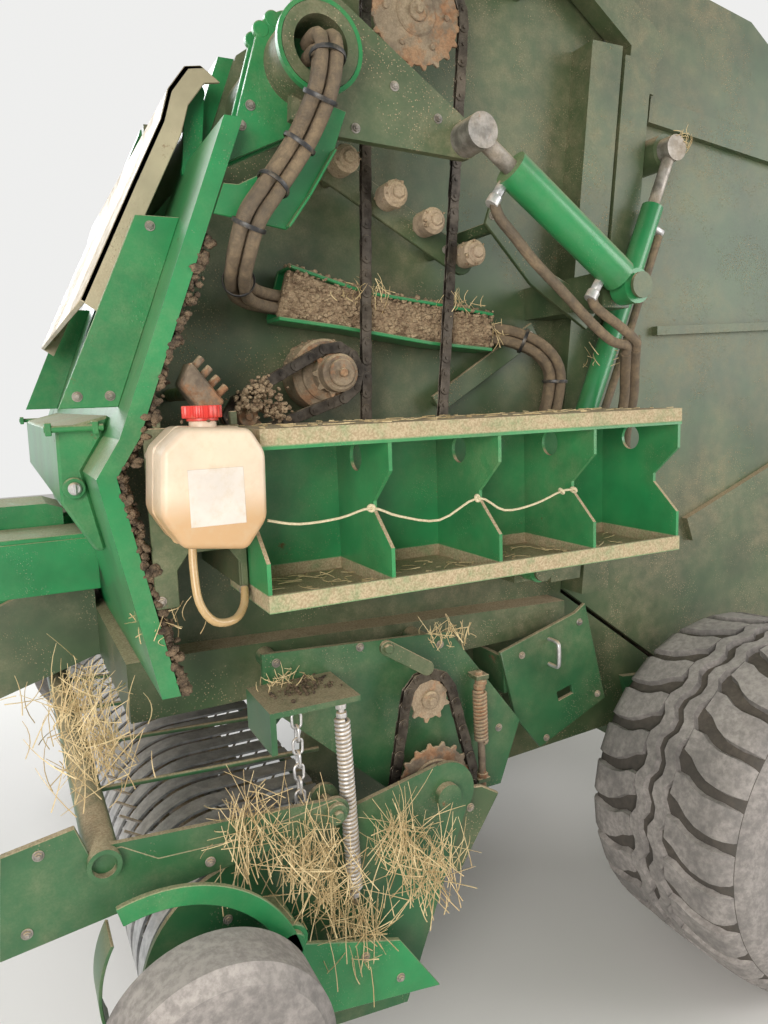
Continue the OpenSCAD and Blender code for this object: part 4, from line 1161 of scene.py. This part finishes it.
# Blades that lie flat on the two ledges of the box; the first ones' own tilt is drawn but not used
spots = []
for _ in range(120):
    place = (random.uniform(-400, 600), random.uniform(-1045, -800), 1544)
    place, size, spin_by, _tilt = straw(place, 0.08, 8, 45)
    spots.append((place, size, spin_by, math.pi / 2 + random.gauss(0, 0.05)))
for _ in range(160):
    place = (random.uniform(-400, 600), random.uniform(-1050, -850), 1216)
    place, size, spin_by, tilt = straw(place, 0.1, 8, 60, 1.2)
    spots.append((place, size, spin_by, math.pi / 2 + tilt))
for place, count in (((651, -745, 1671), 22), ((-60, -735, 1835), 40), ((200, -735, 1810), 40),
                     ((-330, -860, 990), 60), ((320, -700, 1745), 24), ((-600, -930, 1180), 30),
                     ((60, -880, 1040), 40)):
    spots += tufts([place], count, (30, 22, 12), 1.3, 15, 70)
scattered(straws, spots, "straw_on_frame", "straw", angle=30)
scattered(straws, tufts([(930, -750, 2262)], 26, (16, 12, 10), 1.3, 15, 60), "straw_on_rod", "straw",
          "lift_rods", 30)
for template in crumbs + straws:
    bpy.data.objects.remove(template)

# %% [markdown]
# Last of the small things come the twine that is threaded over the noses of the dividers, and
# hexagon bolts with washers, one modelled and the others copied to their places.

# %% Twine and bolts
thread_line = [(-415, 1375), (-354, 1362), (-272, 1365), (-204, 1378), (-143, 1356), (-51, 1339),
               (42, 1376), (110, 1344), (189, 1350), (263, 1372), (297, 1372)]
thread_path = measured("twine", smooth([(x, -1052, z) for x, z in thread_line]))
knots = [settled(added(mesh.primitive_torus_add, major_radius=0.006, minor_radius=0.0035, major_segments=14,
                       minor_segments=8, location=at(*thread_path[i]), rotation=(0.7 * i, 0.9, 0)))
         for i in (12, 24, 36, 40)]
piece("twine_on_box", "twine", [hose(thread_path, 2.6), *knots], angle=60)

bolt = joined(rod((0, 0, 0), (0, -6, 0), 7.5, 6, 0.001), rod((0, 1, 0), (0, -2, 0), 10, 20, 0.0005),
              rod((0, -6, 0), (0, -9, 0), 4, 12, 0.0008))
bolt.data.transform(Matrix.Translation(-at(0, 0, 0)))
# Places of bolts, by how far to the left their plate's face stands
heads = {850: [(-350, 1030), (-352, 965), (60, 1000), (226, 752), (-150, 1030)],
         972: [(-430, 480), (-120, 640), (-230, 380), (-520, 560), (60, 640)],
         1035.5: [(-880, 700), (-850, 836), (-560, 734)],
         945: [(-597, 1500), (-437, 1320), (-597, 1225), (-437, 1225)],
         892: [(-372, 2112), (-352, 2150), (-170, 2300), (-210, 2150)],
         930: [(-60, 2210), (40, 2160), (-150, 2120)],
         807: [(258, 2008), (420, 1870), (570, 1795)], 662: [(196, 1578), (475, 1744)],
         702: [(-90, 2100), (190, 1945)], 806: [(-540, 1935), (-700, 1612), (-640, 1612)],
         782: [(350, 900), (545, 960), (610, 740), (430, 650)],
         1062: [(-560, 450), (-260, 440), (-180, 360)]}
for name, body, layers in (("frame_bolts", "root", (850, 892, 806)),
                           ("left_bolts", "root", (945, 807, 662, 702, 782)),
                           ("pickup_bolts", "pickup", (972, 1062)), ("guard_bolts", "crop_press", (1035.5,)),
                           ("arm_bolts", "tension_arm", (930,))):
    spots = [Matrix.Translation(at(x, -y, z)) for y in layers for x, z in heads[y]]
    piece(name, "bare_steel", [copies(bolt, spots)], body, twin=name != "left_bolts")
bpy.data.objects.remove(bolt)

# %% [markdown]
# Below the box: the gusset, lever and tensioner on the intake's side plate, the cover of the rear
# drive with its handle, the long plates that carry the wind guard, and the arch of the pickup.

# %% Plates on the intake and pickup
piece("intake_brackets", "dusty_green",
      [plate([(-19, 514), (42, 470), (156, 641), (107, 672), (70, 678), (16, 600)], -952, -938, 0.003),
       block(100, 130, -939, -850, 606, 620), plate(link_shape((-124, 1048), (-26, 984), 34), -942, -930),
       disc((-26, 984), 9, -938, -850), disc((-124, 1048), 12, -950, -926, 6)], twin=True)
parts = [rod((150, -880, 925), (156, -880, 625), 9),
         coil(at(154, -880, 744), at(151, -880, 876), 0.0185, 14)]
parts += [rod((x, -880, z), (x, -880, z + 12), 15, 6) for x, z in ((155, 890), (155, 650), (151, 880))]
piece("tensioners", "rusty_iron", parts, angle=50, twin=True)
tabs = [block(136, 172, -892, -850, z, z + 12) for z in (640, 905)]
piece("tensioner_tabs", "dusty_green", tabs, twin=True)

panel = plate([(282, 919), (530, 988), (565, 1010), (639, 722), (410, 627), (328, 732)], -782, -770, 0)
slot_cutter = plate(bar_shape((470, 760), (520, 772), 26), -800, -750, 0)
modified(panel, "BOOLEAN", object=slot_cutter, solver="EXACT")
bpy.data.objects.remove(slot_cutter)
piece("drive_cover", "green_paint", [bevelled(panel, 0.0015), block(300, 312, -770, WALL, 800, 900)],
      instead_of="side_cover")
grip = [(-781, 860), (-812, 860), (-822, 866), (-824, 880), (-824, 910), (-822, 924), (-812, 930),
        (-781, 930)]
piece("cover_handle", "zinc", [hose(smooth([(440, y, z) for y, z in grip]), 5.5)], angle=60)

carrier = [(-926, 662), (-919, 734), (-908, 849), (-789, 868), (-770, 812), (-715, 812), (-653, 770),
           (-504, 762), (-300, 788), (-272, 760), (-300, 732), (-583, 707), (-729, 686)]
hinge = (-300, 760)
piece("guard_carriers", "green_paint", [plate(carrier, -1035.5, -1021), disc(hinge, 22, -1046, -1030, 28),
                                        disc(hinge, 11, -1056, -1040, 6)], "crop_press", twin=True)
shield = plate(arc_shape((-573, 582), 203, 209, 150, 200), -1120, -1040, 0.001)
piece("reel_shields", "green_paint", [shield], "pickup", twin=True)
wheel_arm, wheel_axle = (-430, 560), (-600, 470)
web = [(-606, 438), (-524, 500), (-430, 560), (-400, 520), (-178, 447), (-83, 303), (-431, 354)]
piece("pickup_arches", "bright_green",
      [plate(arc_shape((-671, 485), 231, 268, -10, 105, 28), -1112, -1100),
       plate(link_shape(wheel_arm, wheel_axle, 70), -1098, -1084), disc(wheel_arm, 26, -1112, -972, 32),
       disc(wheel_axle, 18, -1270, -1084, 24), plate(web, -1062, -1050)], "pickup", twin=True,
      instead_of="gauge_arms")

# Beam from the foot of the tension cylinder to the wall, and the diagonal brace
parts = [plate([(238, 1990), (254, 2034), (415, 1891), (593, 1810), (544, 1746), (369, 1854)], -807, -795),
         block(262, 282, -796, WALL, 1975, 2000),
         plate(bar_shape((178, 1567), (493, 1755), 50), -662, -650)]
parts += [disc(spot, 14, -651, WALL) for spot in ((196, 1578), (475, 1744))]
piece("wall_braces", "dusty_green", parts)
